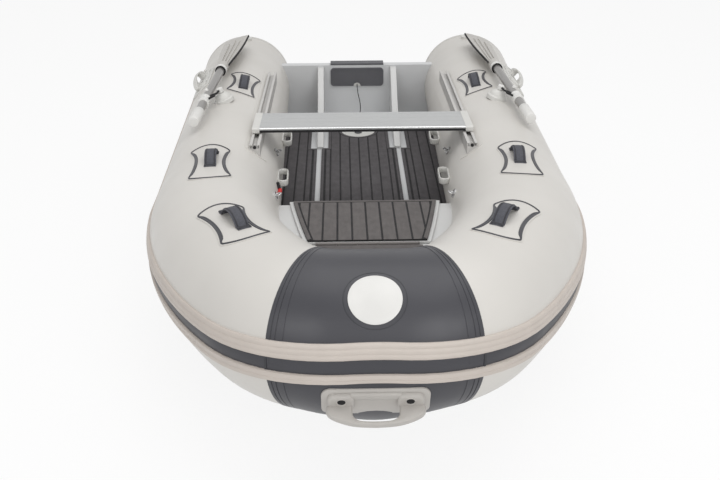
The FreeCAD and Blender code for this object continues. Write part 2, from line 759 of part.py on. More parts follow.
def lid_half(forward):
    """Half the lid's width at a distance forward of the transom."""
    share = (forward - LOCKER_REAR) / (lid_front() - LOCKER_REAR)
    return LID_REAR_HALF + (LID_FRONT_HALF - LID_REAR_HALF) * share


def lid_front():
    return LOCKER_REAR + LID_LENGTH


def trapezoid(rear, front, inset, lift):
    """Outline on the locker's sloping top, parallel to the lid's edges."""
    lifted = locker_up() * lift
    corners = []
    for forward, side in ((rear, -1), (rear, 1), (front, 1), (front, -1)):
        corners.append(vec(side * (lid_half(forward) - inset), fore(forward), locker_top(forward))
                       + lifted)
    return corners


def hinge_axis():
    """Centre of the lid's hinge line."""
    front = lid_front()
    return vec(0, fore(front), locker_top(front)) + locker_up() * (HINGE_RADIUS + LID_REST)


def make_locker(hull):
    half = CHINE_HALF_WIDTH * 2
    side_view = [vec(-half, fore(LOCKER_REAR), DECK_HEIGHT),
                 vec(-half, fore(LOCKER_REAR), locker_top(LOCKER_REAR)),
                 vec(-half, fore(LOCKER_FRONT), locker_top(LOCKER_FRONT)),
                 vec(-half, fore(LOCKER_FRONT), DECK_HEIGHT)]
    room = bay(LOCKER_REAR - 1.0, DECK_HEIGHT, locker_top(LOCKER_FRONT))
    block = prism(side_view, vec(2 * half, 0, 0)).common(hull).common(room)
    rim = trapezoid(LOCKER_REAR + LOCKER_WALL, lid_front() - LID_SEAT * 2, LID_SEAT, 0.0)
    floor = [vec(point.x, point.y, DECK_HEIGHT) for point in rim]
    cavity = prism(floor, vec(0, 0, LOCKER_REAR_HEIGHT * 2))
    keep("bow_locker", biggest(biggest(block).cut(cavity)))


def knuckles():
    """Spans of the hinge's knuckles across the boat, and whether the lid carries them."""
    edges = spread(-HINGE_HALF, HINGE_HALF, 6)
    spans = []
    for index in range(5):
        spans.append((edges[index] + HINGE_END_GAP / 2, edges[index + 1] - HINGE_END_GAP / 2,
                      index % 2 == 1))
    return spans


def make_lid():
    up = locker_up()
    axis = hinge_axis()
    rear = LOCKER_REAR - LID_OVERHANG
    lid = prism(trapezoid(rear, lid_front() - HINGE_SETBACK, 0.0, LID_REST), up * LID_THICKNESS)
    fixed = []
    for start, end, on_lid in knuckles():
        centre = axis + vec(start, 0, 0)
        barrel = Part.makeCylinder(HINGE_RADIUS, end - start, centre, vec(1, 0, 0))
        if on_lid:
            web = prism([centre - up * HINGE_RADIUS, centre - up * (HINGE_RADIUS - 3.0),
                         centre - up * (HINGE_RADIUS - 3.0) + aft_along(HINGE_SETBACK + 4.0),
                         centre - up * HINGE_RADIUS + aft_along(HINGE_SETBACK + 4.0)],
                        vec(end - start, 0, 0))
            bore = Part.makeCylinder(HINGE_PIN + HINGE_CLEARANCE, end - start, centre, vec(1, 0, 0))
            lid = lid.fuse(barrel).fuse(web).cut(bore)
        else:
            foot = prism([centre - up * (HINGE_RADIUS + LID_REST),
                          centre - up * (HINGE_RADIUS - 3.0),
                          centre - up * (HINGE_RADIUS - 3.0) - aft_along(10.0),
                          centre - up * (HINGE_RADIUS + LID_REST) - aft_along(10.0)],
                         vec(end - start, 0, 0))
            fixed.append(barrel.fuse(foot))
    keep("locker_lid", lid.removeSplitter())
    pin = Part.makeCylinder(HINGE_PIN, 2 * HINGE_HALF - HINGE_END_GAP,
                            axis - vec(HINGE_HALF - HINGE_END_GAP / 2, 0, 0), vec(1, 0, 0))
    keep("lid_hinge", fused([pin] + fixed))
    mat = prism(trapezoid(rear + LID_MAT_MARGIN, lid_front() - HINGE_SETBACK - LID_MAT_MARGIN,
                          LID_MAT_MARGIN, LID_REST + LID_THICKNESS), up * MAT_THICKNESS)
    keep("lid_mat", mat)


def aft_along(distance):
    """A step towards the stern on the locker's sloping top."""
    return vec(0, cosine(LOCKER_SLOPE), -sine(LOCKER_SLOPE)) * distance


def make_step_mat(tube):
    rear = lid_front() + STEP_MAT_GAP
    strip = prism(trapezoid(rear, LOCKER_FRONT - LID_MAT_MARGIN, LID_MAT_MARGIN / 2, 0.0),
                  locker_up() * MAT_THICKNESS)
    keep("bow_step_mat", biggest(strip.cut(tube)))


def seat_on_tube(forward, degrees, lift):
    """A seat on the tube's surface at a place and angle."""
    station = PATH.station(forward)
    return Seat(station.round(TUBE_RADIUS + lift, degrees), station.along, station.radial(degrees))


def patch_prism(seat, length, width, hollow):
    """Four-pointed outline with hollow sides, pushed through the tube's skin."""
    corners = [(-length / 2, -width / 2), (length / 2, -width / 2), (length / 2, width / 2),
               (-length / 2, width / 2)]
    middles = [(0.0, -width / 2 + hollow), (length / 2 + hollow * 0.7, 0.0),
               (0.0, width / 2 - hollow), (-length / 2 + hollow * 0.5, 0.0)]
    depth = TUBE_RADIUS * 0.4
    edges = []
    for index, corner in enumerate(corners):
        other = corners[(index + 1) % 4]
        middle = middles[index]
        edges.append(Part.Arc(seat.at(corner[0], corner[1], -depth),
                              seat.at(middle[0], middle[1], -depth),
                              seat.at(other[0], other[1], -depth)).toShape())
    return Part.Face(Part.Wire(edges)).extrude(seat.normal * (depth * 2))


def make_patches(skin, rail):
    patches = []
    for forward, degrees in HANDLE_PLACES:
        seat = seat_on_tube(forward, degrees, 0.0)
        outline = patch_prism(seat, PATCH_LENGTH, PATCH_WIDTH, PATCH_HOLLOW)
        patches.append(biggest(skin.common(outline)))
    half = RAIL_WIDTH / 2 + RAIL_PATCH_MARGIN
    length = (rail.rear - rail.front).Length + 2 * RAIL_PATCH_MARGIN
    bed = rail.bar(RAIL_FRONT + RAIL_PATCH_MARGIN, length, half, -140.0, 20.0)
    bed = rounded_along(bed, rail.up, RAIL_PATCH_MARGIN)
    patches.append(biggest(skin.common(bed)))
    keep("tube_patches", *pair(patches))


def make_carry_handles(grown):
    """Webbing arches over the patches."""
    handles = []
    for forward, degrees in HANDLE_PLACES:
        seat = seat_on_tube(forward, degrees, PATCH_THICKNESS)
        half = STRAP_SPAN / 2
        start = -STRAP_WIDTH / 2
        outer = Part.Arc(seat.at(-half, start, -4.0), seat.at(0, start, STRAP_RISE),
                         seat.at(half, start, -4.0)).toShape()
        inner_half = half - STRAP_THICKNESS * 1.4
        inner = Part.Arc(seat.at(-inner_half, start, -4.0),
                         seat.at(0, start, STRAP_RISE - STRAP_THICKNESS),
                         seat.at(inner_half, start, -4.0)).toShape()
        ends = [Part.makeLine(seat.at(-half, start, -4.0), seat.at(-inner_half, start, -4.0)),
                Part.makeLine(seat.at(half, start, -4.0), seat.at(inner_half, start, -4.0))]
        face = Part.Face(Part.Wire(Part.__sortEdges__([outer, inner] + ends)))
        arch = face.extrude(seat.across * STRAP_WIDTH)
        for side in (-1, 1):
            low = seat.at(side * (half + STRAP_FOOT), start, -8.0)
            foot = prism([low, low + seat.normal * (8.0 + STRAP_THICKNESS),
                          seat.at(side * inner_half, start, STRAP_THICKNESS),
                          seat.at(side * inner_half, start, -8.0)], seat.across * STRAP_WIDTH)
            arch = arch.fuse(foot)
        handles.append(arch.removeSplitter().cut(grown).Solids[0])
    keep("carry_handles", *pair(handles))


def make_loops(tube):
    """Oval loops that stand out from the inner flanks."""
    loops = []
    for forward, degrees in LOOP_PLACES:
        station = PATH.station(forward)
        flank = station.round(TUBE_RADIUS, degrees)
        centre = flank - station.outward * (LOOP_WIDTH / 2 - 4.0)
        seat = Seat(centre - station.up * (LOOP_HEIGHT / 2), station.along, station.up)
        outer = oval(seat, LOOP_LENGTH, LOOP_WIDTH, 0.0, LOOP_HEIGHT)
        inner = oval(seat, LOOP_LENGTH - 2 * LOOP_WALL, LOOP_WIDTH - 2 * LOOP_WALL, 0.0,
                     LOOP_HEIGHT)
        loops.append(biggest(outer.cut(inner).cut(tube)))
    keep("strap_loops", *pair(loops))


def oval(seat, length, width, low, high):
    """Upright solid with straight sides and half-round ends."""
    reach = (length - width) / 2
    ends = [seat.cylinder(width / 2, low, high, along=side * reach) for side in (-1, 1)]
    outline = [seat.at(-reach, -width / 2, low), seat.at(reach, -width / 2, low),
               seat.at(reach, width / 2, low), seat.at(-reach, width / 2, low)]
    return fused([prism(outline, seat.normal * (high - low))] + ends)


def make_grab_handle(seat, tube, skirt):
    """Moulded handle: a base that follows the tube, two eyes and an arched grip."""
    half = HANDLE_LENGTH / 2
    wide = HANDLE_WIDTH / 2
    depth = 60.0
    outline = [seat.at(-half, -wide, -depth), seat.at(half, -wide, -depth),
               seat.at(half, wide, -depth), seat.at(-half, wide, -depth)]
    block = rounded_along(prism(outline, seat.normal * (depth * 2)), seat.normal, HANDLE_CORNER)
    base = skirt.common(block)
    for side in (-1, 1):
        eye = seat.cylinder(EYE_RADIUS, -depth, depth, along=side * EYE_PLACE)
        boss = seat.cylinder(EYE_RADIUS + 7.0, -10.0, HANDLE_BASE + 4.0, along=side * EYE_PLACE)
        base = base.fuse(boss.cut(tube)).cut(eye)
    root = GRIP_OPENING / 2 + GRIP_ROOT / 2
    start = -GRIP_WIDTH / 2 - GRIP_DROP
    outer = [seat.at(-root - 4.0, start, 0.0), seat.at(-root * 0.72, start, HANDLE_REACH * 0.82),
             seat.at(0, start, HANDLE_REACH), seat.at(root * 0.72, start, HANDLE_REACH * 0.82),
             seat.at(root + 4.0, start, 0.0)]
    opening = GRIP_OPENING / 2
    level = HANDLE_REACH - GRIP_THICKNESS
    inner = [seat.at(opening, start, 0.0), seat.at(opening * 0.75, start, level * 0.85),
             seat.at(0, start, level), seat.at(-opening * 0.75, start, level * 0.85),
             seat.at(-opening, start, 0.0)]
    top = Part.BSplineCurve()
    top.interpolate(outer)
    under = Part.BSplineCurve()
    under.interpolate(inner)
    edges = [top.toShape(), Part.makeLine(outer[-1], inner[0]), under.toShape(),
             Part.makeLine(inner[-1], outer[0])]
    grip = Part.Face(Part.Wire(edges)).extrude(seat.across * GRIP_WIDTH)
    whole = base.fuse(grip.cut(tube)).removeSplitter()
    return biggest(whole)


def make_grab_handles(tube):
    skirt_profile = disc_profile(TUBE_RADIUS + HANDLE_BASE)
    bow_half = fused(sweep_bow(skirt_profile, 0.0, BOW_PANEL_TURN))
    bow_skirt = bow_half.fuse(mirrored(bow_half)).removeSplitter().cut(tube)
    front = PATH.bow(0.0)
    seat = Seat(front.round(TUBE_RADIUS, BOW_HANDLE_ANGLE), vec(1, 0, 0),
                front.radial(BOW_HANDLE_ANGLE))
    keep("bow_handle", make_grab_handle(seat, tube, bow_skirt))
    side_skirt = sweep_side(skirt_profile, SIDE_HANDLE_PLACE + HANDLE_LENGTH,
                            SIDE_HANDLE_PLACE - HANDLE_LENGTH).cut(tube)
    side_seat = seat_on_tube(SIDE_HANDLE_PLACE, SIDE_HANDLE_ANGLE, 0.0)
    keep("side_handles", *pair([make_grab_handle(side_seat, tube, side_skirt)]))


def make_bow_disc(tube):
    front = PATH.bow(0.0)
    seat = Seat(front.round(TUBE_RADIUS, DISC_ANGLE), vec(1, 0, 0), front.radial(DISC_ANGLE))
    profile = disc_profile(TUBE_RADIUS + PATCH_THICKNESS)
    half = fused(sweep_bow(profile, 0.0, BOW_PANEL_TURN))
    skin = half.fuse(mirrored(half)).removeSplitter().cut(tube)
    keep("bow_disc", biggest(skin.common(seat.cylinder(DISC_RADIUS, -80.0, 40.0))))


class Oar:
    """Lines of the port oar as it is stowed."""

    def __init__(self):
        station = PATH.straight(ROWLOCK_PLACE)
        normal = station.radial(OAR_ANGLE)
        along = vec(-sine(OAR_TOE), cosine(OAR_TOE), sine(-OAR_RISE))
        self.along = (along - normal * along.dot(normal)).normalize()
        self.normal = normal
        centre = station.round(TUBE_RADIUS + OAR_AXIS_OFFSET, OAR_ANGLE)
        self.seat = Seat(centre, self.along, normal)
        self.inboard = self.seat.across if self.seat.across.x < 0 else self.seat.across * -1.0
        self.pivot = centre + self.inboard * ROWLOCK_INSET

    def at(self, along, inboard, out):
        return self.seat.origin + self.along * along + self.inboard * inboard + self.normal * out

    def rod(self, start, end, radius):
        return rod(self.at(start, 0, 0), self.at(end, 0, 0), radius)


def make_oars(oar):
    solid_shaft = oar.rod(-SHAFT_FORE, SHAFT_AFT, SHAFT_RADIUS)
    bore = oar.rod(-SHAFT_FORE, SHAFT_AFT, SHAFT_RADIUS - SHAFT_WALL)
    grip = oar.rod(-SHAFT_FORE - GRIP_CAP, -SHAFT_FORE + GRIP_LENGTH, GRIP_RADIUS)
    for name, shape in (("oar_shaft", solid_shaft.cut(bore)),
                        ("oar_grip", grip.cut(solid_shaft)),
                        ("oar_collar", make_collar(oar).cut(solid_shaft)),
                        ("oar_blade", make_blade(oar))):
        keep(name + "_port", shape)
        keep(name + "_starboard", mirrored(shape))


def make_collar(oar):
    """Sleeve on the shaft whose slanting arm ends in the rowlock's pin."""
    sleeve = oar.rod(-COLLAR_FORWARD - COLLAR_LENGTH / 2, -COLLAR_FORWARD + COLLAR_LENGTH / 2,
                     COLLAR_RADIUS)
    arm = rod(oar.at(-COLLAR_FORWARD, SHAFT_RADIUS, 0), oar.at(0, ROWLOCK_INSET, 0), ARM_RADIUS)
    head = rod(oar.at(0, ROWLOCK_INSET, -PIN_HEAD_HALF),
               oar.at(0, ROWLOCK_INSET, PIN_HEAD_HALF + 3.0), PIN_RADIUS + PIN_HEAD_WALL)
    pin = rod(oar.at(0, ROWLOCK_INSET, -PIN_HEAD_HALF - PIN_DEPTH), oar.at(0, ROWLOCK_INSET, 0),
              PIN_RADIUS)
    return fused([sleeve, arm, head, pin])


def make_blade(oar):
    """Ribbed blade that widens from its socket to the tip."""
    start = SHAFT_AFT - SOCKET_LENGTH / 2
    tip = SHAFT_AFT + BLADE_LENGTH
    low = -BLADE_THICKNESS / 2
    shape = [(SHAFT_AFT + 20.0, BLADE_ROOT_HALF), (SHAFT_AFT + BLADE_LENGTH * 0.3, 42.0),
             (SHAFT_AFT + BLADE_LENGTH * 0.62, BLADE_TIP_HALF - 2.0), (tip - 26.0, BLADE_TIP_HALF)]
    near = [oar.at(place, half, low) for place, half in shape]
    far = [oar.at(place, -half, low) for place, half in shape]
    edge = Part.BSplineCurve()
    edge.interpolate(near)
    other = Part.BSplineCurve()
    other.interpolate(far)
    tip_arc = Part.Arc(near[-1], oar.at(tip, 0, low), far[-1]).toShape()
    outline = Part.Wire([edge.toShape(), tip_arc, other.toShape(), Part.makeLine(far[0], near[0])])
    blade = Part.Face(outline).extrude(oar.normal * BLADE_THICKNESS)
    ribs = [rib_bar(oar, inboard, reach) for inboard, reach in ((0.0, 0.86), (26.0, 0.8),
                                                                 (-26.0, 0.8))]
    socket = oar.rod(start, SHAFT_AFT + 34.0, SOCKET_RADIUS)
    hole = oar.rod(start, SHAFT_AFT, SHAFT_RADIUS)
    return fused([blade, socket] + ribs).cut(hole)


def rib_bar(oar, inboard, reach):
    start = SHAFT_AFT + 26.0
    end = SHAFT_AFT + BLADE_LENGTH * reach
    narrow = inboard * 0.6
    half = 4.0
    rise = BLADE_THICKNESS / 2 + BLADE_RIB
    points = [oar.at(start, narrow - half, 0), oar.at(start, narrow + half, 0),
              oar.at(end, inboard + half / 2, 0), oar.at(end, inboard - half / 2, 0)]
    return prism(points, oar.normal * rise)


def make_rowlocks(oar, tube):
    """Round moulded sockets on pads that follow the tubes."""
    top = -PIN_HEAD_HALF - SWIVEL_GAP
    depth = OAR_AXIS_OFFSET + 40.0
    base = rod(oar.at(0, ROWLOCK_INSET, -depth),
               oar.at(0, ROWLOCK_INSET, ROWLOCK_BASE_HEIGHT - OAR_AXIS_OFFSET), ROWLOCK_BASE_RADIUS)
    post = rod(oar.at(0, ROWLOCK_INSET, -depth), oar.at(0, ROWLOCK_INSET, top), ROWLOCK_RADIUS)
    floor = top - PIN_DEPTH
    bore = rod(oar.at(0, ROWLOCK_INSET, floor), oar.at(0, ROWLOCK_INSET, top),
               PIN_RADIUS + PIN_CLEARANCE)
    whole = fused([base, post]).cut(tube).cut(bore)
    keep("rowlock_bases", *pair([biggest(whole)]))


def make_tail_fittings(tube):
    seat = seat_on_tube(TAIL_FITTING_PLACE, 92.0, 0.0)
    body = seat.cylinder(TAIL_FITTING_RADIUS, -12.0, TAIL_FITTING_HEIGHT)
    hole = seat.cylinder(TAIL_FITTING_HOLE, TAIL_FITTING_HEIGHT - 6.0, TAIL_FITTING_HEIGHT)
    keep("tail_fittings", *pair([biggest(body.cut(tube).cut(hole))]))


def make_hooks(tube):
    """Small wire hooks on the inner flanks, for what is tied down in the cockpit."""
    hooks = []
    for forward, degrees in HOOK_PLACES:
        seat = seat_on_tube(forward, degrees, 0.0)
        base = seat.cylinder(HOOK_BASE, -6.0, HOOK_BASE_HEIGHT).cut(tube)
        centre = seat.at(0, 0, HOOK_BASE_HEIGHT + HOOK_WIDTH / 2 - 3.0)
        loop = Part.makeTorus(HOOK_WIDTH / 2, HOOK_WIRE, centre, seat.across)
        hooks.append(biggest(base.fuse(loop).cut(tube)))
    keep("tie_rings", *pair(hooks))


def cord_path(points):
    """Straight runs joined by tangent arcs; prints the arcs' radii."""
    edges = []
    radii = []
    start = points[0]
    for index in range(1, len(points) - 1):
        before = points[index - 1] - points[index]
        after = points[index + 1] - points[index]
        turn = math.pi - before.getAngle(after)
        reach = LANYARD_TURNS * min(before.Length, after.Length)
        radii.append(reach / math.tan(turn / 2))
        before.normalize()
        after.normalize()
        first = points[index] + before * reach
        last = points[index] + after * reach
        inward = (before + after).normalize()
        centre = points[index] + inward * (radii[-1] / math.cos(turn / 2))
        middle = centre - inward * radii[-1]
        edges.append(Part.makeLine(start, first))
        edges.append(Part.Arc(first, middle, last).toShape())
        start = last
    edges.append(Part.makeLine(start, points[-1]))
    print("lanyard radii", [round(radius, 1) for radius in radii])
    return Part.Wire(edges)


def make_lanyard():
    points = [vec(x, fore(forward), DECK_HEIGHT + z) for x, forward, z in LANYARD_ROUTE]
    path = cord_path(points)
    circle = Part.Circle(points[0], points[1] - points[0], LANYARD_RADIUS).toShape()
    cord = path.makePipeShell([Part.Wire([circle])], True, False)
    section = math.pi * LANYARD_RADIUS ** 2
    print("lanyard length", round(path.Length, 1), "volume share",
          round(cord.Volume / (section * path.Length), 4))
    keep("drain_lanyard", cord)


def main():
    tube = make_tubes()
    make_strakes()
    block = hull_block(tube)
    make_hull(block)
    make_mats()
    make_drain()
    make_transom(tube)
    make_knees()
    side_tube = PARTS["tube_port"]
    grown = round_half(disc_profile(TUBE_RADIUS + PATCH_THICKNESS), BOW_PANEL_TURN, -TAIL_REACH)
    rail = Rail()
    make_rails(rail, grown)
    make_bench(rail)
    make_locker(block)
    make_lid()
    make_step_mat(tube)
    make_patches(grown.cut(side_tube), rail)
    make_carry_handles(grown)
    make_loops(side_tube)
    make_grab_handles(tube)
    make_bow_disc(tube)
    oar = Oar()
    make_oars(oar)
    make_rowlocks(oar, side_tube)
    make_tail_fittings(side_tube)
    make_hooks(side_tube)
    make_lanyard()
    os.makedirs("parts", exist_ok=True)
    for name, shape in PARTS.items():
        shape.exportStep("parts/" + name + ".step")


PATH = TubePath()
main()
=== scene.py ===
import json
import math
import bmesh
import bpy
from mathutils import Matrix, Vector


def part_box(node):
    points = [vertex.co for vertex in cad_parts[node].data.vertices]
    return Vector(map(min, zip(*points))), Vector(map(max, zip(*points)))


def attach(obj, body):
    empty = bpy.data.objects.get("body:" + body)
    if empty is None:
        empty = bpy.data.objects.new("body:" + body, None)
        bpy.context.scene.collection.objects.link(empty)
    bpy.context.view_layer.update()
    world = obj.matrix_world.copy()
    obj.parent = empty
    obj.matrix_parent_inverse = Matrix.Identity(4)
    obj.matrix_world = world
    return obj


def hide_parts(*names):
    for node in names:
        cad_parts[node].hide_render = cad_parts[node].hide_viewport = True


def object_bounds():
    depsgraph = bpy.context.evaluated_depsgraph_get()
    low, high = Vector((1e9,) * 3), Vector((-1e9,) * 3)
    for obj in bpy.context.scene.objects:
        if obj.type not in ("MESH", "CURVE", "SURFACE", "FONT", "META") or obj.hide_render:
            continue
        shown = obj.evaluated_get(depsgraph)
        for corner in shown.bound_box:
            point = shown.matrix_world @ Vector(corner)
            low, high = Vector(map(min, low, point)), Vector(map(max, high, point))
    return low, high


# Inflatable boat with a rigid V hull: the finish of its surfaces and its soft parts.
# Lengths are in metres, and angles in degrees where no comment says radians.
# The bow points to -Y, port is +X, +Z is up.
# Distances named "forward" or "place" run from the transom's front face towards the bow.
# Pieces are modelled on the port side and mirrored for the starboard side.

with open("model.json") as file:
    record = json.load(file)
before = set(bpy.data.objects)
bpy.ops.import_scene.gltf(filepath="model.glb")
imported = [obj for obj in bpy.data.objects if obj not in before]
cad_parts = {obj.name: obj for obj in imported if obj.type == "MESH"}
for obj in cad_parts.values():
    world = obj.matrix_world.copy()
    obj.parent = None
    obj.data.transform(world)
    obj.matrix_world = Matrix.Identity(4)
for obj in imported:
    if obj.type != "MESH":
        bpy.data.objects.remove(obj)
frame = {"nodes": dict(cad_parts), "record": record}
cad_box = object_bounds()
scene = bpy.context.scene

# Tubes
TUBE_RADIUS = 0.210
TRANSOM_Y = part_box("transom")[0][1]
DECK_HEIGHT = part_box("deck_plate")[1][2]
SHOULDER_HALF = 0.500
FRONT_RADIUS = 6.400
CORNER_RADIUS = 0.225
SHOULDER_RADIUS = 1.339
SHOULDER_TURN = 34.9
SPLAY = 1.39
BOW_SLOPE = 4.67
SIDE_SLOPE = 1.42
SHEER_RADIUS = 2.500
STERN_CENTRE_HEIGHT = 0.139
TAIL_REACH = 0.175
TAIL_CONE = 0.098
TAIL_CONE_RADIUS = 0.100
TAIL_CURVE = 1.15              # power of the cone's taper
TAIL_SEAM = 0.024
BOW_PANEL_TURN = 26.5          # each side of the middle
BOW_TAPE = 0.024               # width of the tape inside the dark section's edges
TAPE_LINES = [(1.0, 0.60), (0.54, 0.32), (0.26, 0.02)]    # its strips, as shares of its width
BOW_FULLNESS = 0.021           # how far the bow bulges below its middle
BULGE_START = -15.0
BULGE_TURN = 105.0
SINK = -0.001                  # lift of what goes under the skin
STATION_STEP = 0.022
TURNS = [360.0 * index / 96 for index in range(96)]

# Strakes: their four edges from the top, degrees up from level outboard at the bow's middle,
# and how far each edge drops along the sides
STRAKE_REACH = 0.008
BAND_REACH = 0.0015
STRAKE_EDGES = [20.1, 8.2, -2.0, -8.5]
STRAKE_DROPS = [7.0, 6.6, 5.6, 9.0]
STRAKE_DROP_LENGTH = 0.24

# Patches with piping and webbing handles. A patch's marks lie on the skin by length from the bow's
# middle and degrees: aft outer corner, aft middle, aft inner corner, inner waist, and so on round.
PATCH_THICKNESS = 0.002
PATCHES = [
    [(0.598, 64.6), (0.620, 87.0), (0.572, 102.0), (0.445, 95.3),
     (0.355, 99.5), (0.352, 78.6), (0.393, 62.6), (0.491, 68.8)],
    [(1.182, 64.9), (1.218, 84.6), (1.160, 104.0), (1.025, 101.7),
     (0.888, 107.0), (0.859, 88.3), (0.897, 68.8), (1.037, 73.7)],
    [(2.086, 84.2), (2.112, 99.0), (2.066, 120.7), (1.940, 114.0),
     (1.811, 116.8), (1.822, 100.0), (1.873, 83.8), (1.980, 89.5)]]
HANDLE_PLACES = [(0.617, 102.0), (1.530, 89.0), (2.068, 86.0)]
PATCH_MARGIN = 0.004
PATCH_CORNER = 0.05            # share of a side that its rounded corner takes
PIPING_WIDTH = 0.012
PIPING_NARROW = 0.0055
PIPING_HEIGHT = 0.0022
PIPING_TAPER = 0.08            # share of a side over which the piping widens
STRAP_WIDTH = 0.039
STRAP_THICKNESS = 0.0045
STRAP_SPAN = 0.124
STRAP_RISE = 0.034
STRAP_DIP = 0.004              # of the arch's ends below its seat
STRAP_SLOPE = 1.6              # rise over run where the webbing is steepest
STRAP_FOOT = 0.016
STRAP_ROWS = 57

# Rails and bench
RAIL_PLACE = 0.378
RAIL_FRONT = 1.330
RAIL_REAR = 0.342
RAIL_WIDTH = 0.036
RAIL_HEIGHT = 0.0285
RAIL_PATCH_MARGIN = 0.018
SCREW_DEPTH = 0.009            # below the rail's top
RUNNER_CLEARANCE = 0.0008
BRACKET_WIDTH = 0.026
BRACKET_LIP = 0.0025
BENCH_FRONT = 1.208
BENCH_THICKNESS = 0.017
BENCH_RIBS = [(0.024, 0.0012), (0.070, 0.0012), (0.116, 0.0012), (0.156, 0.0024), (0.164, 0.0012)]
NOSE_RADIUS = 0.0034

# Floor
MAT_THICKNESS = 0.006
MAT_DEPTH = 0.0055             # of the dark base below the planks
MAT_OVERLAP = 0.0002
MAT_MARGIN = 0.007
PLANK_PITCH = 0.042
PLANK_LINES = 3                # grooves each side of the middle one
PLANK_STEP = 0.006             # between points across a plank
GROOVE = 0.0056
PLANK_RISE = 0.0014
PLANK_CHAMFER = 0.0011
MAT_BORDER = 0.018
LOCKER_REAR = 1.472
CENTRE_MAT_REAR = 0.229
CENTRE_MAT_HALF = 0.166
CENTRE_MAT_STEP = 0.029
CENTRE_MAT_STEP_PLACE = 0.450
SIDE_LINES = [0.229, 0.270, 0.313]
SIDE_MAT_REAR = 0.060
SIDE_MAT_INNER = 0.187
SIDE_MAT_OUTER = 0.363
KNEE_SIDE = 0.215
KNEE_FRONT = 0.454
KNEE_PLACE = 0.158
KNEE_THICKNESS = 0.028
KNEE_LENGTH = 0.447
KNEE_TOP_DEPTH = 0.028
KNEE_SAG = 0.026
KNEE_FOOT = 0.012
TRAY_RADIUS = 0.076
TRAY_PLACE = 0.236
TRAY_GAP = 0.0015

# Locker
LOCKER_REAR_HEIGHT = 0.205
LOCKER_SLOPE = 4.1
LID_REAR_HALF = 0.255
LID_FRONT_HALF = 0.194
LID_BULGE = 0.003
LID_PITCH = 0.0465
LID_LINES = 4                  # grooves each side of the middle one
LID_LENGTH = 0.352
LID_THICKNESS = 0.008
LID_REST = 0.0006
LID_OVERHANG = 0.010
LID_MAT_MARGIN = 0.012
LID_FRONT_MARGIN = 0.003
HINGE_SETBACK = 0.0075
HINGE_RADIUS = 0.0055
HINGE_BORE = 0.0028
HINGE_HALF = 0.160
HINGE_END_GAP = 0.001
HINGE_WEB = [(0.003, 0.0), (0.003, 0.003), (0.0115, 0.003), (0.0115, 0.0)]
LID_REAR = LOCKER_REAR - LID_OVERHANG
LID_FRONT = LOCKER_REAR + LID_LENGTH - HINGE_SETBACK

# Loops, rings, handles and the disc
LOOP_PLACES = [(0.846, 168.0), (1.293, 164.0)]
LOOP_LENGTH = 0.120
LOOP_WIDTH = 0.040
LOOP_HEIGHT = 0.024
LOOP_WALL = 0.0065
CLIP_PLACE = 1.430
CLIP_ANGLE = 166.0
CLIP_TURN = 200.0              # for each metre
HANDLE_LENGTH = 0.266
HANDLE_TOP = 0.031
HANDLE_BOTTOM = -0.074
HANDLE_BASE = 0.006
HANDLE_CORNER = 0.024
GRIP_LEVEL = -0.026            # middle of the grip's thickness, across the seat
GRIP_THICKNESS = 0.018
GRIP_OUTER = [(0.106, -0.006), (0.118, 0.010), (0.1225, 0.024), (0.114, 0.040), (0.088, 0.054),
              (0.052, 0.065), (0.0, 0.069)]
GRIP_INNER = [(0.057, -0.006), (0.0575, 0.012), (0.0575, 0.026), (0.056, 0.040), (0.049, 0.050),
              (0.034, 0.0565), (0.0, 0.058)]
PAD_PLACE = 0.0855
EYE_PLACE = 0.084
BOW_HANDLE_ANGLE = -22.5
SIDE_HANDLE_PLACE = 0.390
SIDE_HANDLE_ANGLE = 49.5
SIDE_GRIP_SHARE = 0.62         # reach of the side grips, as a share of the bow grip's
DISC_RADIUS = 0.0645
DISC_LIFT = 0.0022
DISC_ANGLE = 48.6
DISC_SEAM = 0.0755

# Oars
OAR_AXIS_OFFSET = 0.038
OAR_ANGLE = 71.5
OAR_TOE = 3.0
OAR_RISE = 0.5
SHAFT_BORE = 0.015             # of what sits on the shaft
SHAFT_AFT = 0.340
SHAFT_FORE = 0.310
COLLAR_RADIUS = 0.0205
COLLAR_LENGTH = 0.060
COLLAR_FORWARD = 0.086
GRIP_RADIUS = 0.0205
GRIP_LENGTH = 0.112
GRIP_CAP = 0.006
LINK_RADIUS = 0.004
ROWLOCK_PLACE = 0.855
ROWLOCK_INSET = 0.050
ROWLOCK_BASE_RADIUS = 0.040
ROWLOCK_RADIUS = 0.024
PIN_HEAD_HALF = 0.008
PIN_RADIUS = 0.007
BLADE_LENGTH = 0.478

# Drain plug's lanyard: x, place, height above the deck
LANYARD_RADIUS = 0.002
LANYARD_ROUTE = [(0.0, 0.007, 0.157), (0.0, 0.023, 0.156), (0.001, 0.038, 0.145),
                 (0.004, 0.047, 0.121), (0.012, 0.049, 0.089), (0.016, 0.058, 0.055),
                 (0.011, 0.070, 0.026), (0.003, 0.094, 0.008), (-0.006, 0.130, 0.007),
                 (-0.009, 0.170, 0.011), (-0.005, 0.206, 0.013), (0.0, 0.233, 0.011)]

# Camera, fitted to the photograph
CAMERA_X = -0.073
CAMERA_FORWARD = 4.412
CAMERA_ABOVE_DECK = 1.579
CAMERA_LENS = 47.5             # millimetres
CAMERA_YAW = 0.0191            # radians
CAMERA_PITCH = 0.4746          # radians
CAMERA_ROLL = -0.0041          # radians

# Lights: place, target, size and watts
LIGHTS = {"overhead": ((0.4, -0.2, 4.2), (0, 0, 0.3), (3.6, 4.4), 74),
          "front_port": ((2.0, -4.6, 2.6), (0, -0.2, 0.4), (2.6, 1.8), 56),
          "front_starboard": ((-2.2, -4.2, 2.6), (0, 0.0, 0.4), (2.4, 1.8), 34)}
SKY_LIGHT = 0.58
FLOOR_WHITE = 0.86


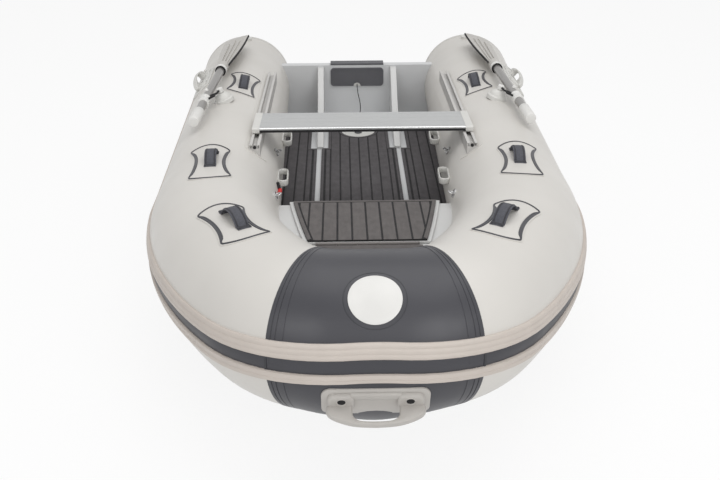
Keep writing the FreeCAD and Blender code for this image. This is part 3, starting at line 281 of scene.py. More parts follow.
def sine(degrees):
    return math.sin(math.radians(degrees))


def cosine(degrees):
    return math.cos(math.radians(degrees))


def fore(distance):
    return TRANSOM_Y - distance


def spread(start, end, count):
    return [start + (end - start) * step / (count - 1) for step in range(count)]


def circle(count):
    return [(math.cos(math.tau * k / count), math.sin(math.tau * k / count)) for k in range(count)]


def flipped(point):
    return Vector((-point.x, point.y, point.z))


def halved(low, high, holds):
    """The value between low and high up to which holds is true."""
    for _ in range(50):
        middle = (low + high) / 2
        if holds(middle):
            low = middle
        else:
            high = middle
    return low


def layers(outline, lay, steps):
    """Rows of points lay(x, y, lift) round outline(size), for each step of (size, lift)."""
    return [[lay(x, y, lift) for x, y in outline(size)] for size, lift in steps]


def rings(lay, steps, count=24):
    """Round layers; each step is (radius, lift)."""
    return layers(lambda radius: [(radius * a, radius * b) for a, b in circle(count)], lay, steps)


class Station:
    """A place on a tube's centreline with its outboard and upward directions."""

    def __init__(self, point, outward, up):
        self.point = point
        self.outward = outward
        self.up = up
        self.along = up.cross(outward)

    def radial(self, degrees):
        return self.outward * cosine(degrees) + self.up * sine(degrees)

    def skin(self, lift, degrees):
        return self.point + self.radial(degrees) * (TUBE_RADIUS + lift)

    def turned(self, length, radius):
        """The station at the end of an arc in the tubes' plane."""
        turn = length / radius
        outward = self.outward * math.cos(turn) + self.along * math.sin(turn)
        return Station(self.point + (outward - self.outward) * radius, outward, self.up)

    def lifted(self, length, radius):
        """The station at the end of an arc that bends upwards."""
        turn = length / radius
        up = self.up * math.cos(turn) - self.along * math.sin(turn)
        return Station(self.point + (self.up - up) * radius, self.outward, up)

    def mirrored(self):
        return Station(flipped(self.point), flipped(self.outward), self.up)


class TubePath:
    """Port half of the centreline by its length from the bow's middle; the CAD's own curve."""

    def __init__(self):
        radii = [FRONT_RADIUS, CORNER_RADIUS, SHOULDER_RADIUS]
        corner_x = (SHOULDER_HALF - SHOULDER_RADIUS * cosine(SPLAY)
                    + (SHOULDER_RADIUS - CORNER_RADIUS) * cosine(SHOULDER_TURN))
        self.corner = math.degrees(math.asin(corner_x / (FRONT_RADIUS - CORNER_RADIUS)))
        turns = [self.corner, 90.0 - SHOULDER_TURN - self.corner, SHOULDER_TURN - SPLAY]
        self.bends = [(Station.turned, math.radians(turn) * radius, radius)
                      for turn, radius in zip(turns, radii)]
        self.bends.append((Station.lifted, math.radians(BOW_SLOPE - SIDE_SLOPE) * SHEER_RADIUS,
                           SHEER_RADIUS))
        self.lengths = [sum(bend[1] for bend in self.bends[:count]) for count in range(5)]
        self.start = Station(Vector((0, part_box("tube_bow")[0][1] + TUBE_RADIUS, 0)),
                             Vector((0, -cosine(BOW_SLOPE), sine(BOW_SLOPE))),
                             Vector((0, sine(BOW_SLOPE), cosine(BOW_SLOPE))))
        end = self.at(self.lengths[4])
        rise = end.along.z * (TRANSOM_Y - end.point.y) / end.along.y
        self.start.point.z = DECK_HEIGHT + STERN_CENTRE_HEIGHT - rise - end.point.z

    def at(self, length):
        """The station at this length from the bow's middle, negative on the starboard side."""
        if length < 0:
            return self.at(-length).mirrored()
        station = self.start
        for bend, arc, radius in self.bends:
            station = bend(station, min(arc, length), radius)
            length = max(0.0, length - arc)
        return Station(station.point + station.along * length, station.outward, station.up)

    def length_of(self, place):
        """The length whose centreline point lies at this place forward of the transom."""
        return halved(0.0, 6.0, lambda length: self.at(length).point.y < fore(place))


PATH = TubePath()
TAIL_LENGTH = PATH.length_of(-TAIL_REACH)
PANEL_LENGTH = PATH.lengths[1] + math.radians(BOW_PANEL_TURN - PATH.corner) * CORNER_RADIUS


class Shape:
    """Collects points and faces, then becomes one piece."""

    def __init__(self):
        self.points = []
        self.faces = []

    def add(self, points, faces):
        base = len(self.points)
        self.points += [Vector(point) for point in points]
        self.faces += [[base + index for index in face] for face in faces]
        return self

    def loft(self, rows, close=False):
        """Skin over rows of equally many points, with capped ends or the last row joined on."""
        count = len(rows[0])
        faces = []
        for row in range(len(rows) if close else len(rows) - 1):
            here = row * count
            after = (row + 1) % len(rows) * count
            for index in range(count):
                step = (index + 1) % count
                faces.append([here + index, here + step, after + step, after + index])
        if not close:
            faces.append(list(range(count))[::-1])
            faces.append([(len(rows) - 1) * count + index for index in range(count)])
        return self.add([point for row in rows for point in row], faces)

    def prism(self, outline, push):
        """Solid between an outline and its copy moved by a step."""
        return self.loft([outline, [point + push for point in outline]])

    def lathe(self, origin, axis, profile, sides=40):
        """Turned form: profile of (distance along the axis, radius), closed at both ends."""
        axis = axis.normalized()
        side = axis.orthogonal().normalized()
        other = axis.cross(side)
        return self.loft(rings(lambda a, b, along: origin + axis * along + side * a + other * b,
                               [(radius, along) for along, radius in profile], sides))

    def flip(self):
        """The starboard copy."""
        return Shape().add([flipped(point) for point in self.points],
                           [face[::-1] for face in self.faces])

    def mirror(self):
        """Adds the starboard copy."""
        other = self.flip()
        return self.add(other.points, other.faces)

    def build(self, name, slot, replaced=None, body="boat", look=None, sharp=35.0, bevel=0.0):
        mesh = bpy.data.meshes.new(name)
        mesh.from_pydata([tuple(point) for point in self.points], [], self.faces)
        work = bmesh.new()
        work.from_mesh(mesh)
        bmesh.ops.recalc_face_normals(work, faces=work.faces)
        work.to_mesh(mesh)
        work.free()
        mesh.materials.append(look or LOOKS[slot])
        obj = bpy.data.objects.new(name, mesh)
        scene.collection.objects.link(obj)
        if bevel:
            rounding = obj.modifiers.new("edges", "BEVEL")
            rounding.width = bevel
            rounding.segments = 2
            rounding.limit_method = "ANGLE"
            rounding.angle_limit = math.radians(32)
            bpy.context.view_layer.objects.active = obj
            bpy.ops.object.select_all(action="DESELECT")
            obj.select_set(True)
            bpy.ops.object.modifier_apply(modifier=rounding.name)
        obj.data.shade_smooth()
        obj.data.set_sharp_from_angle(angle=math.radians(sharp))
        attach(obj, body)
        if replaced:
            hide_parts(replaced)


# Materials

def add_node(tree, kind, output, links, values):
    """Adds a shader node with linked and plain inputs, and returns one of its outputs."""
    node = tree.nodes.new("ShaderNode" + kind)
    for key, value in values.items():
        node.inputs[key].default_value = value
    for key, source in links.items():
        tree.links.new(source, node.inputs[key])
    return node.outputs[output]


class Look:
    """Textures and links of one procedural material."""

    def __init__(self, name, stretch):
        self.material = bpy.data.materials.new(name)
        self.material.use_nodes = True
        self.tree = self.material.node_tree
        self.inputs = self.tree.nodes["Principled BSDF"].inputs
        self.place = {"Vector": add_node(self.tree, "TexCoord", "Object", {}, {})}
        self.stretch = stretch
        self.normal = {}

    def noise(self, scale, detail=3.0, stretch=None):
        stretch = stretch or self.stretch
        place = self.place
        if stretch:
            place = {"Vector": add_node(self.tree, "Mapping", "Vector", place, {"Scale": stretch})}
        return add_node(self.tree, "TexNoise", "Fac", place, {"Scale": scale, "Detail": detail})

    def wave(self, scale, axis):
        value = add_node(self.tree, "TexWave", "Fac", self.place, {"Scale": scale})
        value.node.bands_direction = axis
        return value

    def spots(self, scale):
        return add_node(self.tree, "TexVoronoi", "Distance", self.place, {"Scale": scale})

    def colour(self, base, share, value):
        """Base colour that a texture darkens or lightens by a share."""
        ramp = self.tree.nodes.new("ShaderNodeValToRGB")
        for stop, position, scale in zip(ramp.color_ramp.elements, (0.3, 0.7),
                                         (1 - share, 1 + share)):
            stop.position = position
            stop.color = [min(1.0, part * scale) for part in base] + [1]
        self.tree.links.new(value, ramp.inputs["Fac"])
        self.tree.links.new(ramp.outputs["Color"], self.inputs["Base Color"])

    def roughness(self, low, high, value):
        ranged = add_node(self.tree, "MapRange", "Result", {"Value": value},
                          {"From Min": 0.3, "From Max": 0.7, "To Min": low, "To Max": high})
        self.tree.links.new(ranged, self.inputs["Roughness"])

    def bump(self, value, distance, strength):
        normal = add_node(self.tree, "Bump", "Normal", {"Height": value, **self.normal},
                          {"Distance": distance, "Strength": strength})
        self.normal = {"Normal": normal}
        self.tree.links.new(normal, self.inputs["Normal"])


# Kinds of surface: share by which a noise tints the colour, that noise, roughness from and to,
# its noise, bumps of (texture, its values, depth, strength), and plain inputs
KINDS = {
    "cloth": (0.03, (2.6, 4.0), (0.34, 0.46), (9.0,),
              [(Look.noise, (5.5, 2.0), 0.004, 0.25), (Look.noise, (1500.0, 1.0), 0.0001, 0.35)],
              {"Specular IOR Level": 0.42}),
    "plastic": (0.03, (14.0, 3.0), (0.36, 0.48), (40.0,), [(Look.spots, (900.0,), 0.0001, 0.4)], {}),
    "metal": (0.05, (60.0, 2.0), (0.26, 0.40), (90.0, 2.0),
              [(Look.noise, (120.0, 2.0), 0.0001, 0.25)], {"Metallic": 0.75}),
    "paint": (0.025, (3.5,), (0.36, 0.50), (12.0,), [(Look.noise, (240.0, 1.0), 0.0002, 0.2)], {}),
    "foam": (0.13, (22.0, 5.0, (3.0, 1.0, 3.0)), (0.68, 0.86), (30.0,),
             [(Look.noise, (420.0, 2.0, (1.0, 0.12, 1.0)), 0.0004, 0.5)], {}),
    "webbing": (0.16, (260.0, 2.0), (0.62, 0.8), (60.0,),
                [(Look.wave, (420.0, "X"), 0.0004, 0.4), (Look.wave, (420.0, "Y"), 0.0004, 0.4)], {})}


def linear(levels):
    """Linear colour from three levels of 0 to 255 as a screen shows them."""
    return [((level / 255 + 0.055) / 1.055) ** 2.4 for level in levels]


def surface(name, kind, levels, roughness=None, share=None, stretch=None):
    """One procedural material of a kind, with its own values where they are given."""
    kind_share, tint, kind_roughness, rough, bumps, plain = KINDS[kind]
    look = Look(name, stretch)
    look.colour(linear(levels), share or kind_share, look.noise(*tint))
    look.roughness(*(roughness or kind_roughness), look.noise(*rough))
    for texture, values, distance, strength in bumps:
        look.bump(texture(look, *values), distance, strength)
    for key, value in plain.items():
        look.inputs[key].default_value = value
    return look.material


ALONG_X = (0.05, 1.0, 1.0)
LOOKS = {
    "hull_white": surface("hull_paint", "paint", (212, 212, 210)),
    "guard": surface("guard_rubber", "plastic", (84, 86, 88), (0.6, 0.75)),
    "deck_grey": surface("deck_paint", "paint", (205, 206, 207)),
    "deck_white": surface("deck_white_paint", "paint", (204, 204, 203)),
    "tube": surface("tube_cloth", "cloth", (205, 202, 197)),
    "tube_dark": surface("dark_cloth", "cloth", (61, 61, 66), share=0.05),
    "strake": surface("strake_rubber", "plastic", (192, 183, 175), (0.42, 0.56)),
    "pad": surface("pad_rubber", "plastic", (90, 90, 94), (0.5, 0.66), 0.06),
    "deck_foam": surface("mat_foam", "foam", (76, 73, 75)),
    "moulding": surface("grey_moulding", "plastic", (205, 204, 200)),
    "cord": surface("black_cord", "webbing", (38, 38, 40)),
    "steel": surface("hinge_steel", "metal", (196, 196, 196), (0.2, 0.32), stretch=(0.1, 1.0, 1.0)),
    "anodised": surface("bench_metal", "metal", (196, 198, 199), stretch=ALONG_X),
    "webbing": surface("dark_webbing", "webbing", (76, 77, 84)),
    "blade": surface("blade_plastic", "plastic", (184, 181, 176), (0.34, 0.44))}
BLACK = surface("groove_black", "plastic", (24, 23, 25), (0.75, 0.88))
HINGE_GREY = surface("hinge_grey", "paint", (116, 112, 110))
LID_FOAM = surface("lid_foam", "foam", (92, 88, 87))
SHAFT_METAL = surface("shaft_metal", "metal", (158, 156, 154), stretch=(1.0, 0.05, 1.0))
WHITE_PLASTIC = surface("white_plastic", "plastic", (216, 215, 212))
RED = surface("red_plastic", "plastic", (196, 40, 38), (0.4, 0.5))
SEAM = surface("seam_cloth", "cloth", (200, 198, 193))
DARK_SEAM = surface("dark_seam", "cloth", (50, 51, 55))
DARK_WEBBING = surface("webbing_rib", "webbing", (50, 50, 55))
# Darker copy of the grey moulding for the bow's handle, which faces down: painted shade
HANDLE_PAINTED_SHADE = surface("handle_grey", "plastic", (178, 174, 169))
BENCH_GREY = surface("bench_grey", "plastic", (176, 177, 177), (0.40, 0.50), 0.015)
RAIL_GREY = surface("rail_grey", "plastic", (192, 190, 187), (0.42, 0.54))
# Near-white shiny metal for the bench's rounded front edge; its pale colour is painted highlight
NOSING_PAINTED_HIGHLIGHT = surface("bright_edge", "metal", (235, 236, 236), (0.16, 0.24), stretch=ALONG_X)
NODE_LOOKS = {"oar_shaft_port": SHAFT_METAL, "oar_shaft_starboard": SHAFT_METAL,
              "bench": BENCH_GREY, "seat_rails": RAIL_GREY, "floor_mats_side": BLACK,
              "lid_hinge": HINGE_GREY, "bow_step_mat": LID_FOAM}


def dress_nodes():
    """Each carried-over node gets its slot's material, or its own one."""
    slots = {part["node"]: part["material_slot"] for part in frame["record"]["subparts"]}
    for name, node in frame["nodes"].items():
        for place in node.material_slots:
            place.material = NODE_LOOKS.get(name, LOOKS[slots[name]])


# Tubes and strakes

def lengths_between(start, end):
    """Lengths along the path, with a stop where its curves meet."""
    stops = [start] + [mark for mark in PATH.lengths if start < mark < end] + [end]
    lengths = []
    for low, high in zip(stops, stops[1:]):
        count = max(2, int((high - low) / STATION_STEP) + 1)
        lengths += spread(low, high, count + 1)[:-1]
    return lengths + [end]


def both_ways(lengths):
    """Lengths from the bow's middle, on the starboard and the port side."""
    return [-length for length in reversed(lengths[1:])] + lengths


def sweep(lengths, section):
    """Rows along the path; section gives (lift, degrees) on the skin at a length."""
    rows = []
    for length in lengths:
        station = PATH.at(length)
        rows.append([station.skin(lift, degrees) for lift, degrees in section(length)])
    return rows


def band(lengths, lift, start, end, sink=SINK, count=96):
    """Rows of a thin band between two angles."""
    section = [(lift, degrees) for degrees in spread(start, end, count)]
    section += [(sink, degrees) for degrees in spread(end, start, count)]
    return sweep(lengths, lambda length: section)


def bow_lift(length, degrees):
    """How much fuller the dark bow section is underneath, in the middle."""
    below = BULGE_START - (degrees if degrees < 180.0 else degrees - 360.0)
    if not 0.0 < below < BULGE_TURN:
        return 0.0
    share = cosine(90.0 * min(1.0, abs(length) / PANEL_LENGTH))
    return BOW_FULLNESS * sine(180.0 * below / BULGE_TURN) ** 2 * share ** 2


def side_lift(length):
    """Taper of the side tubes' tails."""
    share = max(0.0, length - TAIL_LENGTH) / TAIL_CONE
    return (TAIL_CONE_RADIUS - TUBE_RADIUS) * share ** TAIL_CURVE


def make_tubes():
    lengths = lengths_between(PANEL_LENGTH, TAIL_LENGTH)
    lengths += spread(TAIL_LENGTH, TAIL_LENGTH + TAIL_CONE, 9)[1:]
    side = Shape().loft(sweep(lengths, lambda length: [(side_lift(length), a) for a in TURNS]))
    side.build("tube_skin_port", "tube", "tube_port")
    side.flip().build("tube_skin_starboard", "tube", "tube_starboard")
    bow = Shape().loft(sweep(both_ways(lengths_between(0.0, PANEL_LENGTH)),
                             lambda length: [(bow_lift(length, a), a) for a in TURNS]))
    bow.build("bow_skin", "tube_dark", "tube_bow")
    tape = Shape()
    for start, end in TAPE_LINES:
        tape.loft(band(lengths_between(PANEL_LENGTH - BOW_TAPE * start, PANEL_LENGTH - BOW_TAPE * end),
                       0.0009, 0.0, 357.0))
    tape.mirror().build("bow_tape", "tube_dark")
    seam = Shape().loft(band(lengths_between(TAIL_LENGTH - TAIL_SEAM, TAIL_LENGTH), 0.0008, 0.0, 357.0))
    seam.mirror().build("tail_seam", "tube", look=SEAM)


def make_tails():
    """Closing rings on the tails' cones."""
    end = PATH.at(TAIL_LENGTH + TAIL_CONE)
    shape = Shape().lathe(end.point - end.along * 0.012, end.along, [
        (0.0, 0.05), (0.0, TAIL_CONE_RADIUS + 0.004), (0.008, TAIL_CONE_RADIUS + 0.003),
        (0.012, TAIL_CONE_RADIUS - 0.004), (0.013, 0.02)], 72)
    shape.mirror().build("tail_caps", "tube", "tail_cones")


def strake_section(start, end, reach, ribs):
    """Ribs between narrow grooves, rounded at both edges, as (lift, degrees)."""
    marks = [(0.0, -0.3), (0.02, 0.6), (0.07, 0.93)]
    for rib in range(1, ribs):
        groove = rib / ribs
        marks += [(groove - 0.05, 1.02), (groove - 0.010, 0.86), (groove + 0.010, 0.86),
                  (groove + 0.05, 1.02)]
    marks += [(0.93, 0.93), (0.98, 0.6), (1.0, -0.3)]
    return [(reach * height, start + (end - start) * share) for share, height in marks]


def strake_edge(index, length):
    share = 1.0 - math.exp(-(length / STRAKE_DROP_LENGTH) ** 2)
    return STRAKE_EDGES[index] - STRAKE_DROPS[index] * share


def make_strakes():
    lengths = both_ways(lengths_between(0.0, TAIL_LENGTH))
    for name, edge, reach, ribs, slot in (("strake_upper", 0, STRAKE_REACH, 3, "strake"),
                                          ("strake_band", 1, BAND_REACH, 1, "tube_dark"),
                                          ("strake_lower", 2, STRAKE_REACH, 2, "strake")):
        shape = Shape().loft(sweep(lengths, lambda length: strake_section(
            strake_edge(edge + 1, length), strake_edge(edge, length), reach, ribs)))
        shape.build(name + "_ribbed", slot, name, sharp=50.0)
    joint = Shape().loft(band([PANEL_LENGTH - 0.003, PANEL_LENGTH], BAND_REACH + 0.0008,
                              strake_edge(2, PANEL_LENGTH), strake_edge(1, PANEL_LENGTH), 0.0, 10))
    joint.mirror().build("band_joints", "tube_dark", look=DARK_SEAM)


# Patches and handles

class Spot:
    """A place on a tube's skin; steps along and round it follow the skin."""

    def __init__(self, length, degrees):
        self.length = length
        self.degrees = degrees

    def at(self, along, across, lift):
        return PATH.at(self.length + along).skin(
            lift, self.degrees + math.degrees(across / TUBE_RADIUS))


class Seat:
    """A flat place over a tube, along it or along a given direction."""

    def __init__(self, length, degrees, lift, along=None):
        station = PATH.at(length)
        along = along or station.along
        self.normal = station.radial(degrees)
        self.origin = station.skin(lift, degrees)
        self.along = (along - self.normal * along.dot(self.normal)).normalized()
        self.across = self.normal.cross(self.along)

    def at(self, along, across=0.0, out=0.0):
        return self.origin + self.along * along + self.across * across + self.normal * out

    def bar(self, points, side, wide, high, count):
        """Bar of oval section through points; side gives its width's direction by index."""
        return Shape().loft([[self.at(*point) + side(index) * (wide * a) + self.normal * (high * b)
                              for a, b in circle(count)] for index, point in enumerate(points)])


def curve_point(start, control, end, share):
    return start * (1 - share) ** 2 + control * (2 * share * (1 - share)) + end * share ** 2


def patch_loop(marks):
    """Outline with bowed sides and rounded corners, with the piping's width at each point."""
    sides = []
    for side in range(4):
        start, middle, end = (marks[(2 * side + step) % 8] for step in range(3))
        sides.append((start, middle * 2 - (start + end) / 2, end))
    last = 1.0 - PATCH_CORNER
    outline = []
    widths = []
    for side in range(4):
        for share in spread(PATCH_CORNER, last, 15):
            outline.append(curve_point(*sides[side], share))
            wide = min(1.0, min(share - PATCH_CORNER, last - share) / PIPING_TAPER) if side % 2 else 0.0
            widths.append(PIPING_NARROW + (PIPING_WIDTH - PIPING_NARROW) * wide)
        before = outline[-1]
        after = curve_point(*sides[(side + 1) % 4], PATCH_CORNER)
        for share in (0.25, 0.5, 0.75):
            outline.append(curve_point(before, sides[side][2], after, share))
            widths.append(PIPING_NARROW)
    return outline, widths


def make_patches():
    patches = Shape()
    piping = Shape()
    skin = Spot(0.0, 0.0)
    for patch in PATCHES:
        marks = [Vector((length, math.radians(degrees) * TUBE_RADIUS)) for length, degrees in patch]
        outline, widths = patch_loop(marks)
        middle = sum(marks, Vector((0, 0))) / len(marks)
        edge = inset_outline(outline, -PATCH_MARGIN)
        rows = [[skin.at(*point, SINK) for point in edge]]
        for share in (1.0, 0.96, 0.84, 0.68, 0.52, 0.36, 0.2, 0.06):
            rows.append([skin.at(*middle.lerp(point, share), PATCH_THICKNESS) for point in edge])
        patches.loft(rows)
        inner = inset_outline(outline, widths)
        rows = []
        for share, height in ((0.0, -0.2), (0.06, 0.75), (0.2, 1.0), (0.36, 0.8), (0.44, 0.45),
                              (0.56, 0.45), (0.64, 0.8), (0.8, 1.0), (0.94, 0.75), (1.0, -0.2)):
            rows.append([skin.at(*out.lerp(within, share), PATCH_THICKNESS + PIPING_HEIGHT * height)
                         for out, within in zip(outline, inner)])
        piping.loft(rows, close=True)
    rows = []
    front = RAIL_FRONT + RAIL_PATCH_MARGIN
    rear = RAIL_REAR - RAIL_PATCH_MARGIN
    for forward in spread(front, rear, 60):
        end = min(RAIL_PATCH_MARGIN, front - forward, forward - rear)
        rounding = RAIL_PATCH_MARGIN ** 2 - (RAIL_PATCH_MARGIN - end) ** 2
        reach = RAIL_WIDTH / 2 + math.sqrt(max(0.0, rounding))
        rows.append([tube_top_at(RAIL_PLACE + x * side, forward, lift)
                     for side, lift in ((1, PATCH_THICKNESS), (-1, SINK))
                     for x in spread(-reach, reach, 12)])
    patches.loft(rows)
    patches.mirror().build("patch_cloth", "tube", "tube_patches")
    piping.mirror().build("patch_piping", "tube_dark", sharp=60.0)


def tube_top_at(x, forward, lift):
    """The point on top of the side tube at a distance from the middle."""
    station = PATH.at(PATH.length_of(forward))
    across = (x - station.point.x) / TUBE_RADIUS
    return station.skin(lift, math.degrees(math.acos(across)))


def arch(along):
    """Height of the webbing's outer face over its seat."""
    half = STRAP_SPAN / 2
    rise = STRAP_RISE + STRAP_DIP
    radius = (half ** 2 + rise ** 2) / (2 * rise)
    if abs(along) >= half:
        return 0.0
    return max(STRAP_THICKNESS, STRAP_RISE - radius + math.sqrt(radius ** 2 - along ** 2))


def strap_rows(seat, section, lengths):
    """Rows along the arch; section is (share of the half width, share of the thickness)."""
    rows = []
    for along in lengths:
        slope = (arch(along + 0.001) - arch(along - 0.001)) / 0.002
        slope = max(-STRAP_SLOPE, min(STRAP_SLOPE, slope))
        tangent = (seat.along + seat.normal * slope).normalized()
        normal = tangent.cross(seat.across)
        normal = normal if normal.dot(seat.normal) > 0 else -normal
        base = seat.at(along, 0, max(0.0, arch(along) - STRAP_THICKNESS))
        rows.append([base + seat.across * (across * STRAP_WIDTH / 2)
                     + normal * (height * STRAP_THICKNESS * 0.8) for across, height in section])
    return rows


def make_straps():
    """Webbing arches with a padded middle and two ribs."""
    half = [(0.0, 1.25), (0.5, 1.12), (0.62, 0.95), (0.70, 0.72), (0.78, 0.8), (0.86, 0.95),
            (0.98, 0.7), (1.0, 0.0), (0.9, -0.1)]
    strap = half + [(-across, height) for across, height in reversed(half[1:])]
    rib = [(0.56, 0.7), (0.60, 1.22), (0.70, 1.28), (0.80, 1.22), (0.84, 0.7)]
    hem = [(-0.96, 0.6), (-0.92, 1.3), (0.92, 1.3), (0.96, 0.6)]
    reach = STRAP_SPAN / 2 + STRAP_FOOT
    straps = Shape()
    ribs = Shape()
    for place, degrees in HANDLE_PLACES:
        seat = Seat(PATH.length_of(place), degrees, PATCH_THICKNESS)
        straps.loft(strap_rows(seat, strap, spread(-reach, reach, STRAP_ROWS)))
        for side in (-1, 1):
            ribs.loft(strap_rows(seat, [(across * side, height) for across, height in rib],
                                 spread(0.001 - reach, reach - 0.001, STRAP_ROWS)))
            ribs.loft(strap_rows(seat, hem, spread(side * (reach - 0.012), side * (reach - 0.001), 3)))
    straps.mirror().build("webbing_handles", "webbing", "carry_handles", sharp=60.0)
    ribs.mirror().build("webbing_ribs", "webbing", look=DARK_WEBBING, sharp=60.0)


# Rails and bench

class Rail:
    """Line of the port rail's top."""

    def __init__(self):
        self.front = self.end(RAIL_FRONT)
        self.along = (self.end(RAIL_REAR) - self.front).normalized()
        self.up = Vector((1, 0, 0)).cross(self.along)

    def end(self, forward):
        height = tube_top_at(RAIL_PLACE, forward, 0.0).z + RAIL_HEIGHT + PATCH_THICKNESS
        return Vector((RAIL_PLACE, fore(forward), height))

    def at(self, forward, out, rise):
        distance = (self.front.y - fore(forward)) / -self.along.y
        return self.front + self.along * distance + Vector((out, 0, 0)) + self.up * rise


def make_bench():
    """Fine ribs along the plank's top, a rounded front edge in near-white as painted highlight, and a
    black strip below it as painted shadow.
    """
    rail = Rail()
    half = RAIL_PLACE + RAIL_WIDTH / 2 - BRACKET_WIDTH
    top = RUNNER_CLEARANCE + BRACKET_LIP + BENCH_THICKNESS

    def bar(shape, margin, section):
        """Bar across the bench; section is (place from its front edge, rise over its top)."""
        shape.prism([rail.at(BENCH_FRONT + place, margin - RAIL_PLACE - half, top + rise)
                     for place, rise in section], Vector((2 * (half - margin), 0, 0)))
    ribs = Shape()
    for place, wide in BENCH_RIBS:
        bar(ribs, 0.002, [(wide - place, -0.0004), (wide * 0.6 - place, 0.0006),
                          (-wide * 0.6 - place, 0.0006), (-wide - place, -0.0004)])
    ribs.build("bench_ribs", "anodised", body="bench", look=BENCH_GREY, sharp=50.0)
    # Rounded front edge in near-white shiny metal: painted highlight
    nose = Shape()
    bar(nose, 0.001, [(NOSE_RADIUS * cosine(a) - 0.0028, NOSE_RADIUS * sine(a) - 0.0030)
                      for a in spread(-100, 100, 13)])
    nose.build("bench_nosing", "anodised", body="bench", look=NOSING_PAINTED_HIGHLIGHT, sharp=60.0)
    # Black strip on the bench's front face under its edge: painted shadow
    shadow_strip = Shape()
    bar(shadow_strip, 0.001, [(0.0004, -0.0072), (-0.002, -0.0072), (-0.002, -0.0160), (0.0004, -0.0160)])
    shadow_strip.build("bench_shadow_gap", "pad", body="bench", look=BLACK)
    screws = Shape().lathe(rail.at(RAIL_FRONT, 0, -SCREW_DEPTH), -rail.along, [
        (-0.002, 0.003), (-0.002, 0.0058), (0.0012, 0.0060), (0.0030, 0.0046), (0.0036, 0.001)], 24)
    screws.mirror().build("rail_screws", "pad", look=BLACK)


# Floor

def inset_outline(points, distance):
    """A closed outline moved inwards by a distance, or by one distance for each point."""
    points = [Vector(point) for point in points]
    area = sum(a.cross(b) for a, b in zip(points, points[1:] + points[:1]))
    turn = 1.0 if area > 0 else -1.0
    distances = distance if isinstance(distance, list) else [distance] * len(points)
    result = []
    for index, (point, distance) in enumerate(zip(points, distances)):
        one = (point - points[index - 1]).normalized()
        two = (points[(index + 1) % len(points)] - point).normalized()
        mitre = Vector((-one.y - two.y, one.x + two.x)) * turn
        result.append(point + mitre * (distance / max(0.2, mitre.length ** 2 / 2)))
    return result


def border(shape, outline, lay, ring=True):
    """Raised ring just inside an outline, or without ring open between its last and first point."""
    width = MAT_BORDER - GROOVE
    rows = layers(lambda inset: inset_outline(outline, inset), lay, (
        (0.0, 0.0), (0.0, PLANK_RISE * 0.7), (0.0014, PLANK_RISE), (width - 0.0012, PLANK_RISE),
        (width, PLANK_RISE * 0.6), (width, 0.0)))
    if ring:
        shape.loft(rows, close=True)
    else:
        shape.loft([list(section) for section in zip(*rows)])


def plank_edges(half, pitch, count):
    """Places of the grooves across a mat, between its borders' inner edges."""
    return [-half] + [pitch * step for step in range(-count, count + 1)] + [half]


def planks(shape, edges, front, rear, lay):
    """Raised planks between these x; front and rear give a plank's ends by x and its edge."""
    for left, right in zip(edges, edges[1:]):
        x0 = left + GROOVE / 2
        x1 = right - GROOVE / 2
        rows = []
        for x in spread(x0, x1, max(3, int((x1 - x0) / PLANK_STEP))):
            inside = min(max(x, x0 + PLANK_CHAMFER), x1 - PLANK_CHAMFER)
            low = rear(x, right)
            high = front(x)
            rows.append([lay(inside, high - PLANK_CHAMFER, PLANK_RISE),
                         lay(inside, low + PLANK_CHAMFER, PLANK_RISE),
                         lay(x, low, 0.0), lay(x, high, 0.0)])
        shape.loft(rows)


def lay_on_deck(x, forward, lift):
    return Vector((x, fore(forward), DECK_HEIGHT + MAT_THICKNESS - MAT_OVERLAP + lift))


def lay_on_locker(x, forward, lift):
    height = DECK_HEIGHT + LOCKER_REAR_HEIGHT
    height += (forward - LOCKER_REAR) * math.tan(math.radians(LOCKER_SLOPE))
    return Vector((x, fore(forward) + sine(LOCKER_SLOPE) * lift, height + cosine(LOCKER_SLOPE) * lift))


def centre_outline():
    """The centre mat, narrower between the knees and cut round the drain's tray."""
    half = CENTRE_MAT_HALF
    inner = half - CENTRE_MAT_STEP
    step = CENTRE_MAT_STEP_PLACE
    radius = TRAY_RADIUS + TRAY_GAP
    right = [(half, LOCKER_REAR - MAT_MARGIN), (half, step + 0.010), (half - 0.003, step + 0.003),
             (half - 0.010, step), (inner, step), (inner, CENTRE_MAT_REAR)]
    recess = [(radius * cosine(turn), TRAY_PLACE + radius * sine(turn))
              for turn in spread(-4.0, 184.0, 25)]
    recess = [point for point in recess if point[1] > CENTRE_MAT_REAR - 0.001]
    return right + recess + [(-x, y) for x, y in reversed(right)]


def centre_rear(x, edge):
    """Rear ends of the centre planks: at the step, the mat's end or the tray."""
    if abs(x) > PLANK_PITCH * PLANK_LINES + 0.0001:
        return CENTRE_MAT_STEP_PLACE + MAT_BORDER
    radius = TRAY_RADIUS + MAT_BORDER
    tray = TRAY_PLACE + math.sqrt(radius ** 2 - x ** 2) if abs(x) < radius else 0.0
    return max(CENTRE_MAT_REAR + MAT_BORDER, tray)


def side_rear(x, edge):
    """Rear ends of the side planks; the first one ends at the knee."""
    return (KNEE_FRONT if edge == SIDE_LINES[0] else SIDE_MAT_REAR) + MAT_BORDER


